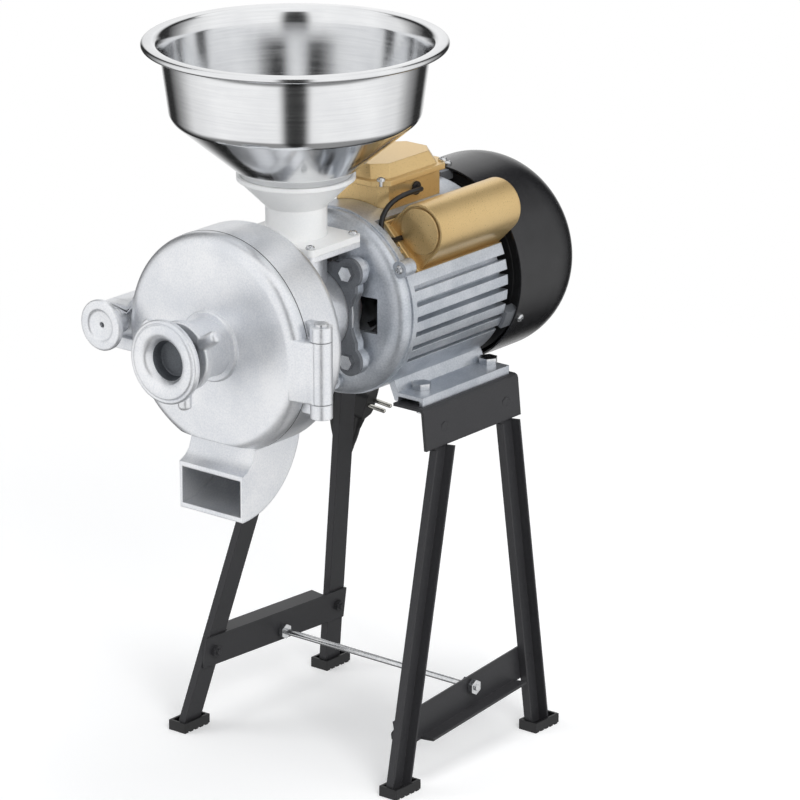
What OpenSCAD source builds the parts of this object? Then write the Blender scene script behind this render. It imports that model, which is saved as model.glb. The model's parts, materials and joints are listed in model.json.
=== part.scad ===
// Electric grain mill with a hinged front cover, a fan-cooled motor and a steel stand.
// Millimetres, +Z up. The origin is on the floor, below the middle of the mill.
// The shaft runs along Y. The mill head and its knob face -Y, the fan faces +Y.

/* [Stand] */
// Height of the cap plates above the floor
stand_h = 347.5; // [300:0.5:420]
// Thickness of the cap plates
plate_t = 3; // [2:0.5:5]
// Length of a cap plate along the shaft
plate_len = 143; // [136:1:170]
// Outer face of a cap plate, from the middle of the mill
plate_x = 96; // [92:1:105]
// Inner edge of a cap plate, from the middle of the mill
plate_in_x = 60; // [50:1:64]
// Depth of the bent skirt of a cap plate
skirt_h = 40; // [30:1:55]
// Outer face of the feet, from the middle of the mill
foot_x = 140.5; // [130:0.5:150]
// Depth of the web of a leg channel
leg_w = 22; // [18:1:28]
// Rear flange of a leg channel
leg_flange = 10; // [7:0.5:11]
// Front lip of a leg channel
leg_lip = 6; // [4:0.5:8]
// Sheet thickness of the legs
leg_t = 2; // [1.5:0.25:3]
// Middle of the front legs at the floor
front_foot_y = -87; // [-110:0.5:-60]
// Middle of the front legs at the skirts
front_top_y = 27; // [20:0.5:45]
// Middle of the rear legs at the floor
rear_foot_y = 125; // [110:0.5:135]
// Middle of the rear legs at the skirts
rear_top_y = 115; // [105:0.5:125]
// Length of a foot cap
cap_len = 36; // [32:1:44]
// Width of a foot cap
cap_w = 20.5; // [18:0.5:24]
// Height of a foot cap
cap_h = 10; // [8:0.5:14]
// Height of a crossbar
bar_h = 31; // [24:1:36]
// Width of the flange of a crossbar
bar_flange = 15; // [10:1:18]
// Thickness of a crossbar
bar_t = 2.5; // [2:0.25:4]
// Height of the tie rod above the floor
rod_z = 66; // [50:1:90]
// Diameter of the tie rod
rod_d = 6; // [5:0.5:8]

/* [Motor] */
// Height of the shaft above the motor feet
shaft_h = 90; // [90:1:95]
// Diameter of the motor shaft
shaft_d = 24; // [19:1:26]
// Front face of the motor body
body_y = -13.5; // [-20:0.5:-8]
// Length of the motor body
body_len = 141; // [136:1:150]
// Radius of the barrel of the motor body
barrel_r = 80; // [79:0.5:82]
// Radius over the ribs of the motor body
rib_r = 90; // [87:0.5:92]
// Bore radius of the motor body
body_bore = 70; // [66:0.5:72]
// Width of a groove between two ribs
groove_w = 5; // [3:0.5:7]
// Angle from groove to groove
groove_pitch = 9.4; // [8:0.2:11]
// Distance between the foot bolts across the shaft
foot_a = 140; // [136:1:144]
// Distance between the foot bolts along the shaft
foot_b = 100; // [90:1:106]
// Outer edge of a motor foot, from the shaft
foot_out = 90; // [86:1:92]
// Width of the slab of a motor foot
slab_w = 29.5; // [26:0.5:31]
// Thickness of the slab of a motor foot
slab_t = 8.5; // [7:0.5:11]
// Length of a motor foot
slab_len = 130; // [120:1:136]
// Front end of a motor foot
slab_y = 0; // [-4:0.5:4]
// Length of the front bell in front of the body
bell_len = 32.5; // [30:0.5:36]
// Thickness of the front bell's flange
bell_flange_t = 8; // [6:0.5:10]
// Radius of the bell rims
bell_r = 88.5; // [86:0.5:89.5]
// Radius of the fan cover
fan_cover_r = 96; // [92:0.5:104]
// Length of the fan cover
fan_cover_len = 119; // [110:1:125]
// Rounding of the fan cover's back
fan_cover_round = 60; // [40:1:64]
// Wall of the fan cover
fan_cover_t = 1.8; // [1.2:0.1:2.5]
// Gap between the body and the fan cover
fan_gap = 13; // [10:0.5:16]
// Radius of the cooling fan
fan_r = 82; // [70:1:86]

/* [Terminal box and capacitor] */
// Half width of the terminal box
box_x = 31; // [28:0.5:34]
// Front wall of the terminal box
box_y = 15; // [12:0.5:20]
// Length of the terminal box
box_len = 90; // [80:1:94]
// Height of the lid seat above the shaft
box_top = 108; // [100:0.5:116]
// Wall of the terminal box
box_t = 3; // [2:0.25:4]
// Half width of the lid
lid_x = 36; // [33:0.5:39]
// Length of the lid
lid_len = 106; // [96:1:110]
// Height of the lid's raised middle
lid_h = 18; // [12:0.5:24]
// Radius of the capacitor cover
cap_cover_r = 26; // [24:0.5:26]
// Length of the capacitor cover
cap_cover_len = 118; // [110:1:120]
// Angle of the capacitor cover round the shaft
cap_cover_a = 45; // [43:1:47]
// Distance of the capacitor seat from the shaft
cap_seat = 75.5; // [75:0.25:78]
// Height of the capacitor cover's axis above its seat
cap_axis_h = 26.5; // [26:0.5:28]

/* [Mill head] */
// Radius of the grinding drum
drum_r = 103; // [100:0.5:106]
// Wall of the drum
drum_t = 6; // [4:0.5:7]
// Depth of the drum
drum_len = 52; // [50:0.5:56]
// Length of the neck behind the drum
neck_len = 76; // [72:0.5:82]
// Radius of the neck behind the drum
neck_r = 42; // [36:0.5:44]
// Distance of the feed throat from the neck's rear face
throat_back = 23; // [22:0.5:26]
// Bore radius of the feed throat
throat_r = 21; // [18:0.5:22]
// Height of the feed throat's top above the shaft
throat_top = 71.4; // [68:0.2:76]
// Depth of the front cover
cover_len = 16; // [14:0.5:20]
// Wall of the front cover
cover_t = 5; // [4:0.25:6]
// Rounding of the cover's edge
cover_round = 13; // [9:0.5:14]
// Radius of the boss on the cover
boss_r = 27; // [25:0.5:29]
// Length of the boss on the cover
boss_len = 34; // [28:0.5:38]
// Radius of the adjusting knob
knob_r = 39; // [36:0.5:42]
// Depth of the adjusting knob
knob_len = 16; // [14:0.5:20]
// Radius of the lock ring
lock_r = 32.5; // [31:0.5:35]
// Reach of the lock ring's stubs from the shaft
stub_reach = 49; // [45:0.5:52]
// Radius of the grinding burrs
burr_r = 70; // [66:0.5:72]
// Radius of the hole in a burr
burr_hole = 39; // [36:0.5:41]
// Thickness of a burr
burr_t = 10; // [8:0.5:12]
// Gap between the burrs as drawn
burr_gap = 0.5; // [0.3:0.1:1.5]
// Distance of the hinge pin from the shaft
hinge_x = 116; // [115:0.5:119]
// Radius of the hinge knuckles
knuckle_r = 10.2; // [9:0.2:11]
// Height of the cover's knuckle
knuckle_h = 58; // [48:1:66]
// Height of a housing knuckle
ear_h = 13.5; // [11:0.5:18]
// Distance of the swing bolt from the shaft
clamp_x = 118; // [117:0.5:121]
// Radius of the clamp knob
clamp_r = 24; // [20:0.5:26]
// Width of the chute
chute_w = 79; // [70:1:84]
// Radius of the chute's back
chute_r = 81; // [76:1:82]
// Height of the chute's mouth
mouth_h = 44; // [38:1:48]
// Wall of the chute
chute_t = 4.5; // [3:0.5:6]

/* [Hopper] */
// Outer radius of the hopper's rim
rim_r = 140; // [120:1:150]
// Radius of the hopper's wall below the rim
hopper_r = 123; // [110:1:126]
// Radius of the hopper at its crease
crease_r = 115; // [105:1:118]
// Radius of the hopper's outlet
outlet_r = 51.5; // [45:0.5:54]
// Height of the hopper
hopper_h = 129.5; // [110:0.5:150]
// Height of the hopper's outlet above the neck's flange
neck_h = 53; // [48:0.5:60]
// Outer radius of the feed neck's tube
neck_tube_r = 28.5; // [27:0.25:30]
// Half width of the feed neck's flange
neck_fx = 48.5; // [46:0.5:52]
// Half length of the feed neck's flange
neck_fy = 36; // [34:0.5:38]

/* [Cord] */
// Diameter of the power cord
cord_d = 7.5; // [6:0.25:8]

/* [Hidden] */
$fn = 64;
// Overrun of every cut
cut = 1;
// Clearances: running fits, screw holes and moulded or cast pieces
fit = 0.05;
hole_c = 0.4;
loose = 0.3;

// Places along the shaft
shaft_z = stand_h + shaft_h;
body_end = body_y + body_len;
bell_y = body_y - bell_len;
adapter_t = 4;
adapter_y = bell_y - adapter_t;
drum_y = adapter_y - neck_len;
seam_y = drum_y - drum_len;
face_y = seam_y - cover_len;
boss_y = face_y - boss_len;
lock_t = 8.5;
lock_y = boss_y - lock_t;
sleeve_len = 7.5;
knob_y = lock_y - sleeve_len;
throat_y = adapter_y - throat_back;
fan_cover_y = body_end + fan_gap;
shaft_r = shaft_d / 2;

// Placing helpers: a cylinder along the shaft, a turned profile and an extruded outline
module along(r, y, l, x = 0, z = 0) {
    translate([x, y, shaft_z + z]) rotate([-90, 0, 0]) cylinder(r = r, h = l);
}
module turned(points) {
    translate([0, 0, shaft_z]) rotate([-90, 0, 0]) rotate_extrude() polygon(points);
}
module outline(y, l) {
    translate([0, y + l, shaft_z]) rotate([90, 0, 0]) linear_extrude(l) children();
}
module both() {
    children();
    mirror([1, 0, 0]) children();
}
function polar(r, a) = [r * cos(a), r * sin(a)];
// Half section of a dish whose outer edge is rounded
module dish(r, len, round) {
    square([r - round, len]);
    square([r, len - round]);
    intersection() {
        translate([r - round, len - round]) circle(round);
        square([r, len]);
    }
}
module ring2(r, bore) {
    difference() {
        circle(r);
        circle(bore);
    }
}
// Hexagon head with its shank, head up
module bolt(af, head, d, len) {
    cylinder(d = af / cos(30), h = head, $fn = 6);
    translate([0, 0, -len]) cylinder(d = d, h = len);
}
module hexnut(af, t, d) {
    difference() {
        cylinder(d = af / cos(30), h = t, $fn = 6);
        translate([0, 0, -cut]) cylinder(d = d, h = t + 2 * cut);
    }
}
// Pan head screw with a cross recess, head up
module pan_screw(d, head_d, head, len) {
    slot = head_d * 0.16;
    difference() {
        rotate_extrude() polygon([[0, -fit], [head_d / 2, -fit], [head_d / 2, head * 0.45],
            [head_d * 0.36, head * 0.86], [0, head]]);
        for (a = [0, 90]) rotate(a) translate([-head_d * 0.3, -slot / 2, head * 0.5])
            cube([head_d * 0.6, slot, head]);
    }
    translate([0, 0, -len]) cylinder(d = d, h = len);
}

// Scalloped flange with four ears round the bolts
ear_pcd = 120;
ear_bolt_a = [45, 135, 225, 315];
ear_r = 14;
flange_core_r = 49;
waist_cut_r = 48;
waist_cut_x = 92;
bolt_d = 8;
module scalloped(bore) {
    difference() {
        union() {
            circle(flange_core_r);
            for (a = ear_bolt_a) translate(polar(ear_pcd / 2, a)) circle(ear_r);
            for (a = ear_bolt_a) rotate(a) translate([0, loose - ear_r]) square([ear_pcd / 2, 2 * (ear_r - loose)]);
            square([ear_pcd * 0.84, ear_pcd * 0.84], center = true);
        }
        for (a = [0, 90, 180, 270]) rotate(a) translate([waist_cut_x, 0]) circle(waist_cut_r);
        circle(bore);
    }
}
module at_flange_bolts(y) {
    for (a = ear_bolt_a) translate([ear_pcd / 2 * cos(a), y, shaft_z + ear_pcd / 2 * sin(a)])
        rotate([-90, 0, 0]) children();
}

// Stand: every sloping face follows the splay of the legs
plate_y = slab_y - (plate_len - slab_len) / 2;
foot_edge = 6.5;
bolt_y0 = slab_y + slab_len - foot_edge - foot_b;
foot_bolt_ys = [bolt_y0, bolt_y0 + foot_b];
foot_bolt_d = 10;
foot_bolt_af = 16;
foot_head_t = 6;
frame_bolt_d = 6;
frame_bolt_af = 10;
frame_head_t = 4;
leg_top_gap = 9;
leg_top_z = stand_h - plate_t - leg_top_gap;
cap_sole = 3;
web_gap = 0.5;
plate_bend = 4;
// The web plane of the legs lies behind the skirts and leans out by the splay
web_base_x = plate_x - plate_t - web_gap;
web_foot_x = foot_x - cap_w / 2 - leg_flange / 3;
splay = (web_foot_x - web_base_x) / (stand_h - plate_bend - cap_sole);
splay_a = atan(splay);
function web_x(z) = web_base_x + (stand_h - plate_bend - z) * splay;
function behind_web(z, t) = web_x(z) - t / cos(splay_a);

module cap_plate() {
    drop = skirt_h - plate_bend;
    out = drop * splay;
    difference() {
        translate([0, plate_y + plate_len, 0]) rotate([90, 0, 0]) linear_extrude(plate_len)
            polygon([[plate_in_x, stand_h - plate_t], [plate_in_x, stand_h],
                [plate_x - plate_bend, stand_h], [plate_x - plate_bend * 0.3, stand_h - plate_bend * 0.3],
                [plate_x, stand_h - plate_bend], [plate_x + out, stand_h - skirt_h],
                [plate_x + out - plate_t, stand_h - skirt_h], [plate_x - plate_t, stand_h - plate_bend],
                [plate_x - plate_bend, stand_h - plate_t]]);
        for (y = foot_bolt_ys) translate([foot_a / 2, y, stand_h - plate_t - cut])
            cylinder(d = foot_bolt_d + hole_c, h = plate_t + 2 * cut);
        for (p = skirt_bolts) frame_place(p) frame_hole();
    }
}
module cap_plate_right() color([0.13, 0.13, 0.14]) cap_plate();
module cap_plate_left() color([0.13, 0.13, 0.14]) mirror([1, 0, 0]) cap_plate();

// Bolts of the stand go through the webs at [place along the shaft, height]
skirt_bolt_drop = 24;
skirt_bolt_z = stand_h - skirt_bolt_drop;
function leg_y(top_y, foot_y, z) = foot_y + (top_y - foot_y) * (z - cap_sole) / (leg_top_z - cap_sole);
function front_y(z) = leg_y(front_top_y, front_foot_y, z);
function rear_y(z) = leg_y(rear_top_y, rear_foot_y, z);
skirt_bolts = [[front_y(skirt_bolt_z), skirt_bolt_z], [rear_y(skirt_bolt_z), skirt_bolt_z]];
module frame_place(p) {
    translate([web_x(p[1]), p[0], p[1]]) rotate([0, 90 - splay_a, 0]) children();
}
module frame_hole() {
    reach = leg_flange + plate_t;
    translate([0, 0, -reach]) cylinder(d = frame_bolt_d + hole_c, h = 2 * reach);
}

// A leg is a pressed channel whose web is bolted behind the skirt; it opens outwards
module leg(top_y, foot_y) {
    fall = leg_top_z - cap_sole;
    lean_a = atan((foot_y - top_y) * cos(splay_a) / fall);
    len = fall / cos(splay_a) / cos(lean_a);
    difference() {
        translate([web_x(leg_top_z), top_y, leg_top_z]) rotate([0, -splay_a, 0]) rotate([lean_a, 0, 0])
            translate([0, 0, -len - leg_w]) linear_extrude(len + 2 * leg_w) difference() {
                translate([-leg_t, -leg_w / 2]) square([leg_t + leg_flange, leg_w]);
                translate([0, -leg_w / 2 + leg_t]) square([leg_flange + cut, leg_w - 2 * leg_t]);
                translate([leg_lip, -leg_w / 2 - cut]) square([leg_flange, leg_w / 2]);
            }
        translate([0, top_y - leg_w, leg_top_z]) cube([2 * plate_x, 2 * leg_w, 2 * leg_w]);
        translate([0, foot_y - 2 * leg_w, cap_sole - 2 * leg_w]) cube([2 * foot_x, 4 * leg_w, 2 * leg_w]);
        translate([web_x(skirt_z), top_y - 3 * leg_w, skirt_z]) rotate([0, -splay_a, 0])
            translate([0, 0, -leg_t]) cube([2 * leg_flange, 6 * leg_w, 2 * skirt_h]);
        for (z = [skirt_bolt_z]) frame_place([leg_y(top_y, foot_y, z), z]) frame_hole();
        children();
    }
}
skirt_z = stand_h - skirt_h;
steel_black = [0.13, 0.13, 0.14];
module leg_front_right() color(steel_black) leg(front_top_y, front_foot_y)
    frame_place(bar_bolts_right[0]) frame_hole();
module leg_rear_right() color(steel_black) leg(rear_top_y, rear_foot_y)
    frame_place(bar_bolts_right[1]) frame_hole();
module leg_front_left() color(steel_black) mirror([1, 0, 0]) leg(front_top_y, front_foot_y)
    frame_place(bar_bolts_left[0]) frame_hole();
module leg_rear_left() color(steel_black) mirror([1, 0, 0]) leg(rear_top_y, rear_foot_y)
    frame_place(bar_bolts_left[1]) frame_hole();

// Crossbars lie on the inner faces of the webs; the tie rod goes through both
rod_y = 38.5;
bar_drop = 21;
bar_rise_right = 5.2;
bar_rise_left = -2.4;
bar_over = 11;
// Where the middle of a leg crosses the bolt line of a bar
function bar_end(top_y, foot_y, rise, c) =
    let (k = (top_y - foot_y) / (leg_top_z - cap_sole), t = tan(rise),
        z = (rod_z + c + (foot_y - k * cap_sole - rod_y) * t) / (1 - k * t)) [foot_y + k * (z - cap_sole), z];
function bar_bolts(rise, c) = [bar_end(front_top_y, front_foot_y, rise, c), bar_end(rear_top_y, rear_foot_y, rise, c)];
bar_bolts_right = bar_bolts(bar_rise_right, bar_h / 2 - bar_drop);
bar_bolts_left = bar_bolts(bar_rise_left, bar_drop - bar_h / 2);
front_bar_y = front_y(rod_z);
rear_bar_y = rear_y(rod_z);
module crossbar(rise, flange_low) {
    low = flange_low ? -bar_drop : bar_drop - bar_h;
    front = front_bar_y - leg_w / 2;
    back = rear_bar_y + leg_w / 2;
    inner = leg_w / 2 + bar_over;
    difference() {
        translate([behind_web(rod_z, leg_t) - fit, rod_y, rod_z]) rotate([0, -splay_a, 0]) rotate([rise, 0, 0]) {
            translate([-bar_t, front - rod_y, low]) cube([bar_t, back - front, bar_h]);
            translate([-bar_t, front_bar_y + inner - rod_y, flange_low ? low : low + bar_h - bar_t])
                cube([bar_flange + bar_t, rear_bar_y - front_bar_y - 2 * inner, bar_t]);
        }
        translate([bar_mid_x - bar_flange, rod_y, rod_z]) rotate([0, 90, 0])
            cylinder(d = rod_d + hole_c, h = 2 * bar_flange);
    }
}
module crossbar_right() color(steel_black) difference() {
    crossbar(bar_rise_right, true);
    for (p = bar_bolts_right) frame_place(p) frame_hole();
}
module crossbar_left() color(steel_black) mirror([1, 0, 0]) difference() {
    crossbar(bar_rise_left, false);
    for (p = bar_bolts_left) frame_place(p) frame_hole();
}
rod_over = 9;
rod_nut_af = 13;
rod_nut_t = 5;
bar_mid_x = behind_web(rod_z, leg_t + bar_t / 2);
module tie_rod() color(zinc) {
    translate([-bar_mid_x - rod_over, rod_y, rod_z]) rotate([0, 90, 0])
        cylinder(d = rod_d, h = 2 * (bar_mid_x + rod_over));
    both() for (side = [-1, 1])
    translate([bar_mid_x + side * (bar_t / 2 + rod_nut_t / 2 + bar_t * 0.36), rod_y, rod_z]) rotate([0, 90, 0])
        translate([0, 0, -rod_nut_t / 2]) hexnut(rod_nut_af, rod_nut_t, rod_d + 2 * fit);
}

// Nuts and bolts of the stand: one bolt through each skirt and leg, one through each bar end
module frame_bolt(over, under) {
    translate([0, 0, over]) bolt(frame_bolt_af, frame_head_t, frame_bolt_d, over + under + 1.5 * frame_head_t);
    translate([0, 0, -under - frame_head_t - fit]) hexnut(frame_bolt_af, frame_head_t, frame_bolt_d + 2 * fit);
}
module frame_bolts() color([0.2, 0.2, 0.21]) {
    both() for (p = skirt_bolts) frame_place(p) frame_bolt(web_gap + plate_t, leg_t);
    for (p = bar_bolts_right) frame_place(p) frame_bolt(0, leg_t + bar_t + fit);
    mirror([1, 0, 0]) for (p = bar_bolts_left) frame_place(p) frame_bolt(0, leg_t + bar_t + fit);
}

// Moulded cap under each leg, open on top, with a ribbed tread
cap_wall = 2.5;
tread = 2;
tread_count = 5;
module foot_cap(foot_y, top_y) {
    lean = (top_y - foot_y) / (leg_top_z - cap_sole);
    back = leg_w / 2 * sqrt(1 + lean * lean) + max(0, -lean) * cap_h + loose + cap_wall;
    translate([foot_x - cap_w, foot_y - back, 0]) difference() {
        cube([cap_w, cap_len, cap_h]);
        translate([cap_wall, cap_wall, cap_sole]) cube([cap_w - 2 * cap_wall, cap_len - 2 * cap_wall, cap_h]);
        for (k = [0:tread_count - 1]) translate([-cut, (k + 0.7) * cap_len / tread_count, -cut])
            cube([cap_w + 2 * cut, cap_len / tread_count * 0.4, tread / 2 + cut]);
    }
}
module foot_caps() color([0.08, 0.08, 0.08]) both() {
    foot_cap(front_foot_y, front_top_y);
    foot_cap(rear_foot_y, rear_top_y);
}
foot_nut_t = 8;
module foot_bolts() color(zinc) both() for (y = foot_bolt_ys) translate([foot_a / 2, y, stand_h]) {
    translate([0, 0, slab_t + fit]) bolt(foot_bolt_af, foot_head_t, foot_bolt_d, slab_t + plate_t + 1.5 * foot_nut_t);
    translate([0, 0, -plate_t - foot_nut_t - fit]) hexnut(foot_bolt_af, foot_nut_t, foot_bolt_d + 2 * fit);
}

// Motor body: a casting with ribs, a flat seat for the capacitor and two hollow feet
cast = [0.76, 0.77, 0.79];
cast_dark = [0.3, 0.31, 0.33];
gold = [0.72, 0.58, 0.36];
zinc = [0.78, 0.79, 0.8];
groove_first = 16.5;
groove_count = 6;
groove_as = concat([for (k = [0:groove_count - 1]) groove_first - k * groove_pitch],
    [for (k = [0:groove_count - 1]) 180 - groove_first + k * groove_pitch],
    [-100, -90, -80, 128, 140, 152]);
body_ring = 6;
foot_in = foot_out - slab_w;
foot_wall = 4;
foot_boss_r = 9;
skirt_top_share = [0.627, -0.709];
skirt_top = skirt_top_share * barrel_r;
module foot_outline() {
    difference() {
        polygon([skirt_top, [foot_in, -shaft_h + slab_t], [foot_out, -shaft_h + slab_t],
            [foot_out, -shaft_h], [foot_in - foot_wall, -shaft_h],
            skirt_top - [1.5 * foot_wall, foot_wall]]);
        translate([foot_in, -shaft_h - cut]) square([slab_w - foot_wall, slab_t - foot_wall + cut]);
    }
}
module motor_body() color(cast) difference() {
    union() {
        outline(body_y + body_ring, body_len - body_ring) difference() {
            circle(rib_r);
            for (a = groove_as) rotate(a) translate([barrel_r, -groove_w / 2])
                square([rib_r - barrel_r + cut, groove_w]);
        }
        along(rib_r, body_y, body_ring);
        both() outline(slab_y, slab_len) foot_outline();
        both() for (y = foot_bolt_ys) translate([foot_a / 2, y, stand_h])
            cylinder(r = foot_boss_r, h = slab_t - foot_wall / 2);
        at_lugs() translate([0, 0, -body_ring]) cylinder(r = lug_r, h = body_ring);
    }
    along(body_bore, body_y - cut, body_len + 2 * cut);
    both() for (y = foot_bolt_ys) translate([foot_a / 2, y, stand_h - cut])
        cylinder(d = foot_bolt_d + hole_c, h = slab_t + 2 * cut);
    at_lugs() translate([0, 0, -body_ring - cut]) cylinder(r = small_d / 2 + fit, h = body_ring + 2 * cut);
    at_cap() {
        translate([-cap_half, -cap_recess, 0]) cube([2 * cap_half, body_len, 2 * cap_cover_r]);
        translate([0, cap_screw_y, body_bore - cap_seat - cut]) cylinder(r = small_d / 2 + fit, h = cap_seat - body_bore + 2 * cut);
    }
}

// Capacitor under its half-round cover, turned round the shaft on its flat seat
cap_y0 = body_y + 31;
cap_sheet = 1.2;
cap_flange = 4;
cap_tab = 10;
cap_lip = 7;
cap_recess = 24;
cap_half = cap_cover_r + cap_flange + loose;
cap_screw_y = loose - cap_lip - cap_tab / 2;
can_end = 9;
can_r = cap_cover_r - 2 * cap_sheet - hole_c;
small_d = 4;
small_head_d = 8.5;
small_head_t = 3.2;
small_len = 9;
module at_cap() {
    translate([0, cap_y0 - loose, shaft_z]) rotate([0, 90 - cap_cover_a, 0]) translate([0, 0, cap_seat]) children();
}
module tunnel(r, low = 0) {
    circle(r);
    translate([-r, low - cap_axis_h]) square([2 * r, cap_axis_h - low]);
}
module capacitor_cover() color(gold) at_cap() translate([0, loose + cap_cover_len, fit]) rotate([90, 0, 0]) {
    difference() {
        union() {
            translate([0, cap_axis_h, 0]) linear_extrude(cap_cover_len) tunnel(cap_cover_r);
            translate([-cap_cover_r - cap_flange, 0, 0])
                cube([2 * (cap_cover_r + cap_flange), cap_sheet, cap_cover_len + cap_lip]);
            translate([-cap_tab / 2, 0, cap_cover_len]) cube([cap_tab, cap_sheet, cap_lip + cap_tab / 2]);
            translate([0, 0, loose - cap_screw_y + cap_cover_len]) rotate([-90, 0, 0]) cylinder(d = cap_tab, h = cap_sheet);
        }
        translate([0, cap_axis_h, cap_sheet]) linear_extrude(cap_cover_len - 3 * cap_sheet) tunnel(cap_cover_r - cap_sheet, -cut);
        translate([0, cap_axis_h, cap_cover_len - cap_sheet]) linear_extrude(2 * cap_sheet)
            tunnel(cap_cover_r - 2 * cap_sheet, cap_sheet);
        translate([0, -cut, loose - cap_screw_y + cap_cover_len]) rotate([-90, 0, 0])
            cylinder(d = small_d + hole_c, h = cap_sheet + 2 * cut);
    }
}
module capacitor() color([0.86, 0.86, 0.84]) at_cap() translate([0, loose + can_end, can_r + fit])
    rotate([-90, 0, 0]) {
        cylinder(r = can_r, h = cap_cover_len - 2 * can_end);
        for (x = [-can_r / 3, can_r / 3]) translate([x - cap_sheet, -cap_sheet / 2, cap_cover_len - 2 * can_end])
            cube([2 * cap_sheet, cap_sheet, can_end / 2]);
    }
module capacitor_screw() color([0.8, 0.72, 0.5]) at_cap() translate([0, cap_screw_y, cap_sheet + 2 * fit])
    pan_screw(small_d, small_head_d, small_head_t, cap_sheet + cap_seat - body_bore);

// Terminal box: cast walls that widen towards the body, a lid with a raised middle
box_flare = 4;
box_chamfer_share = 0.36;
lid_rim = 5.5;
lid_over = 6;
lid_in = 11;
lid_y = box_y + (box_len - lid_len) / 2;
box_mid_y = box_y + box_len / 2;
module chamfered(x, l, c) {
    polygon([[-x, -l / 2 + c], [-x + c, -l / 2], [x - c, -l / 2], [x, -l / 2 + c],
        [x, l / 2 - c], [x - c, l / 2], [-x + c, l / 2], [-x, l / 2 - c]]);
}
module terminal_box() color(gold) difference() {
    intersection() {
        outline(box_y - lid_over, box_len + 2 * lid_over) polygon([[-box_x - box_flare, 0],
            [-box_x - box_flare, rib_r * 0.8], [-box_x, box_top], [box_x, box_top],
            [box_x + box_flare * 0.4, rib_r * 0.8], [box_x + box_flare * 0.4, 0]]);
        translate([0, box_mid_y, shaft_z]) linear_extrude(box_top)
            chamfered(box_x + box_flare, box_len, box_x * box_chamfer_share);
    }
    translate([0, box_mid_y, shaft_z]) linear_extrude(box_top + cut)
        chamfered(box_x - box_t, box_len - 2 * box_t, box_x * box_chamfer_share - box_t / 2);
    along(rib_r + fit, body_y, body_len);
    translate([0, gland_y, shaft_z + gland_z]) rotate([0, 90, 0]) cylinder(d = gland_d + hole_c, h = 2 * box_x);
    translate([0, inlet_y, shaft_z + gland_z]) rotate([0, -90, 0]) cylinder(d = inlet_d + hole_c, h = 2 * box_x);
}
gland_y = 62;
gland_z = 97;
gland_d = 8;
inlet_y = 60;
inlet_d = 12;
module box_lid() color(gold) translate([0, box_mid_y, shaft_z + box_top + fit]) difference() {
    union() {
        linear_extrude(lid_rim) chamfered(lid_x, lid_len, lid_x * box_chamfer_share);
        hull() {
            linear_extrude(lid_rim) chamfered(lid_x - lid_in / 2, lid_len - lid_in, lid_x * box_chamfer_share);
            linear_extrude(lid_h) chamfered(lid_x - lid_in, lid_len - 2 * lid_in, lid_x * box_chamfer_share);
        }
    }
    translate([0, 0, -cut]) linear_extrude(lid_rim + cut)
        chamfered(box_x - 2 * box_t, lid_len - 2 * lid_in - 2 * box_t, lid_x * box_chamfer_share - box_t);
    for (x = [-lid_screw_x, lid_screw_x]) for (y = [-lid_screw_y, lid_screw_y]) translate([x, y, -cut])
        cylinder(d = small_d + hole_c, h = lid_h);
    for (x = [-lid_screw_x, lid_screw_x]) for (y = [-lid_screw_y, lid_screw_y]) translate([x, y, lid_rim])
        cylinder(d = small_head_d + 2 * loose, h = lid_h);
}
lid_screw_x = lid_x - lid_in / 2 - small_d / 2;
lid_screw_y = lid_len / 2 - lid_in / 2 - small_d / 2;
module lid_screws() color(zinc)
    for (x = [-lid_screw_x, lid_screw_x]) for (y = [-lid_screw_y, lid_screw_y])
        translate([x, box_mid_y + y, shaft_z + box_top + lid_rim + 3 * fit])
            pan_screw(small_d, small_head_d, small_head_t, lid_rim);

// Bells, bearings and the turning parts of the motor
bell_spigot = 5;
bell_dome_shares = [[1, 0], [1, 0.16], [0.965, 0.32], [0.87, 0.47], [0.73, 0.57], [0.56, 0.62], [0.43, 0.64]];
bell_inner_shares = [[0.39, 0.5], [0.56, 0.49], [0.7, 0.44], [0.79, 0.35], [0.82, 0.24], [0.82, 0.12], [0.745, 0.12]];
hub_share = 0.38;
front_bearing_r = 26;
front_bearing_t = 15;
front_seat_r = shaft_r + 0.5;
rear_bearing_r = 23.5;
rear_bearing_t = 14;
rear_seat_r = 10;
shaft_hole_r = shaft_r + 4;
bearing_y = bell_y + bell_flange_t + 2;
arm_r = 9.5;
window_w = 34;
window_r0_share = 0.44;
window_r1_share = 0.7;
lug_r = 8;
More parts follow.
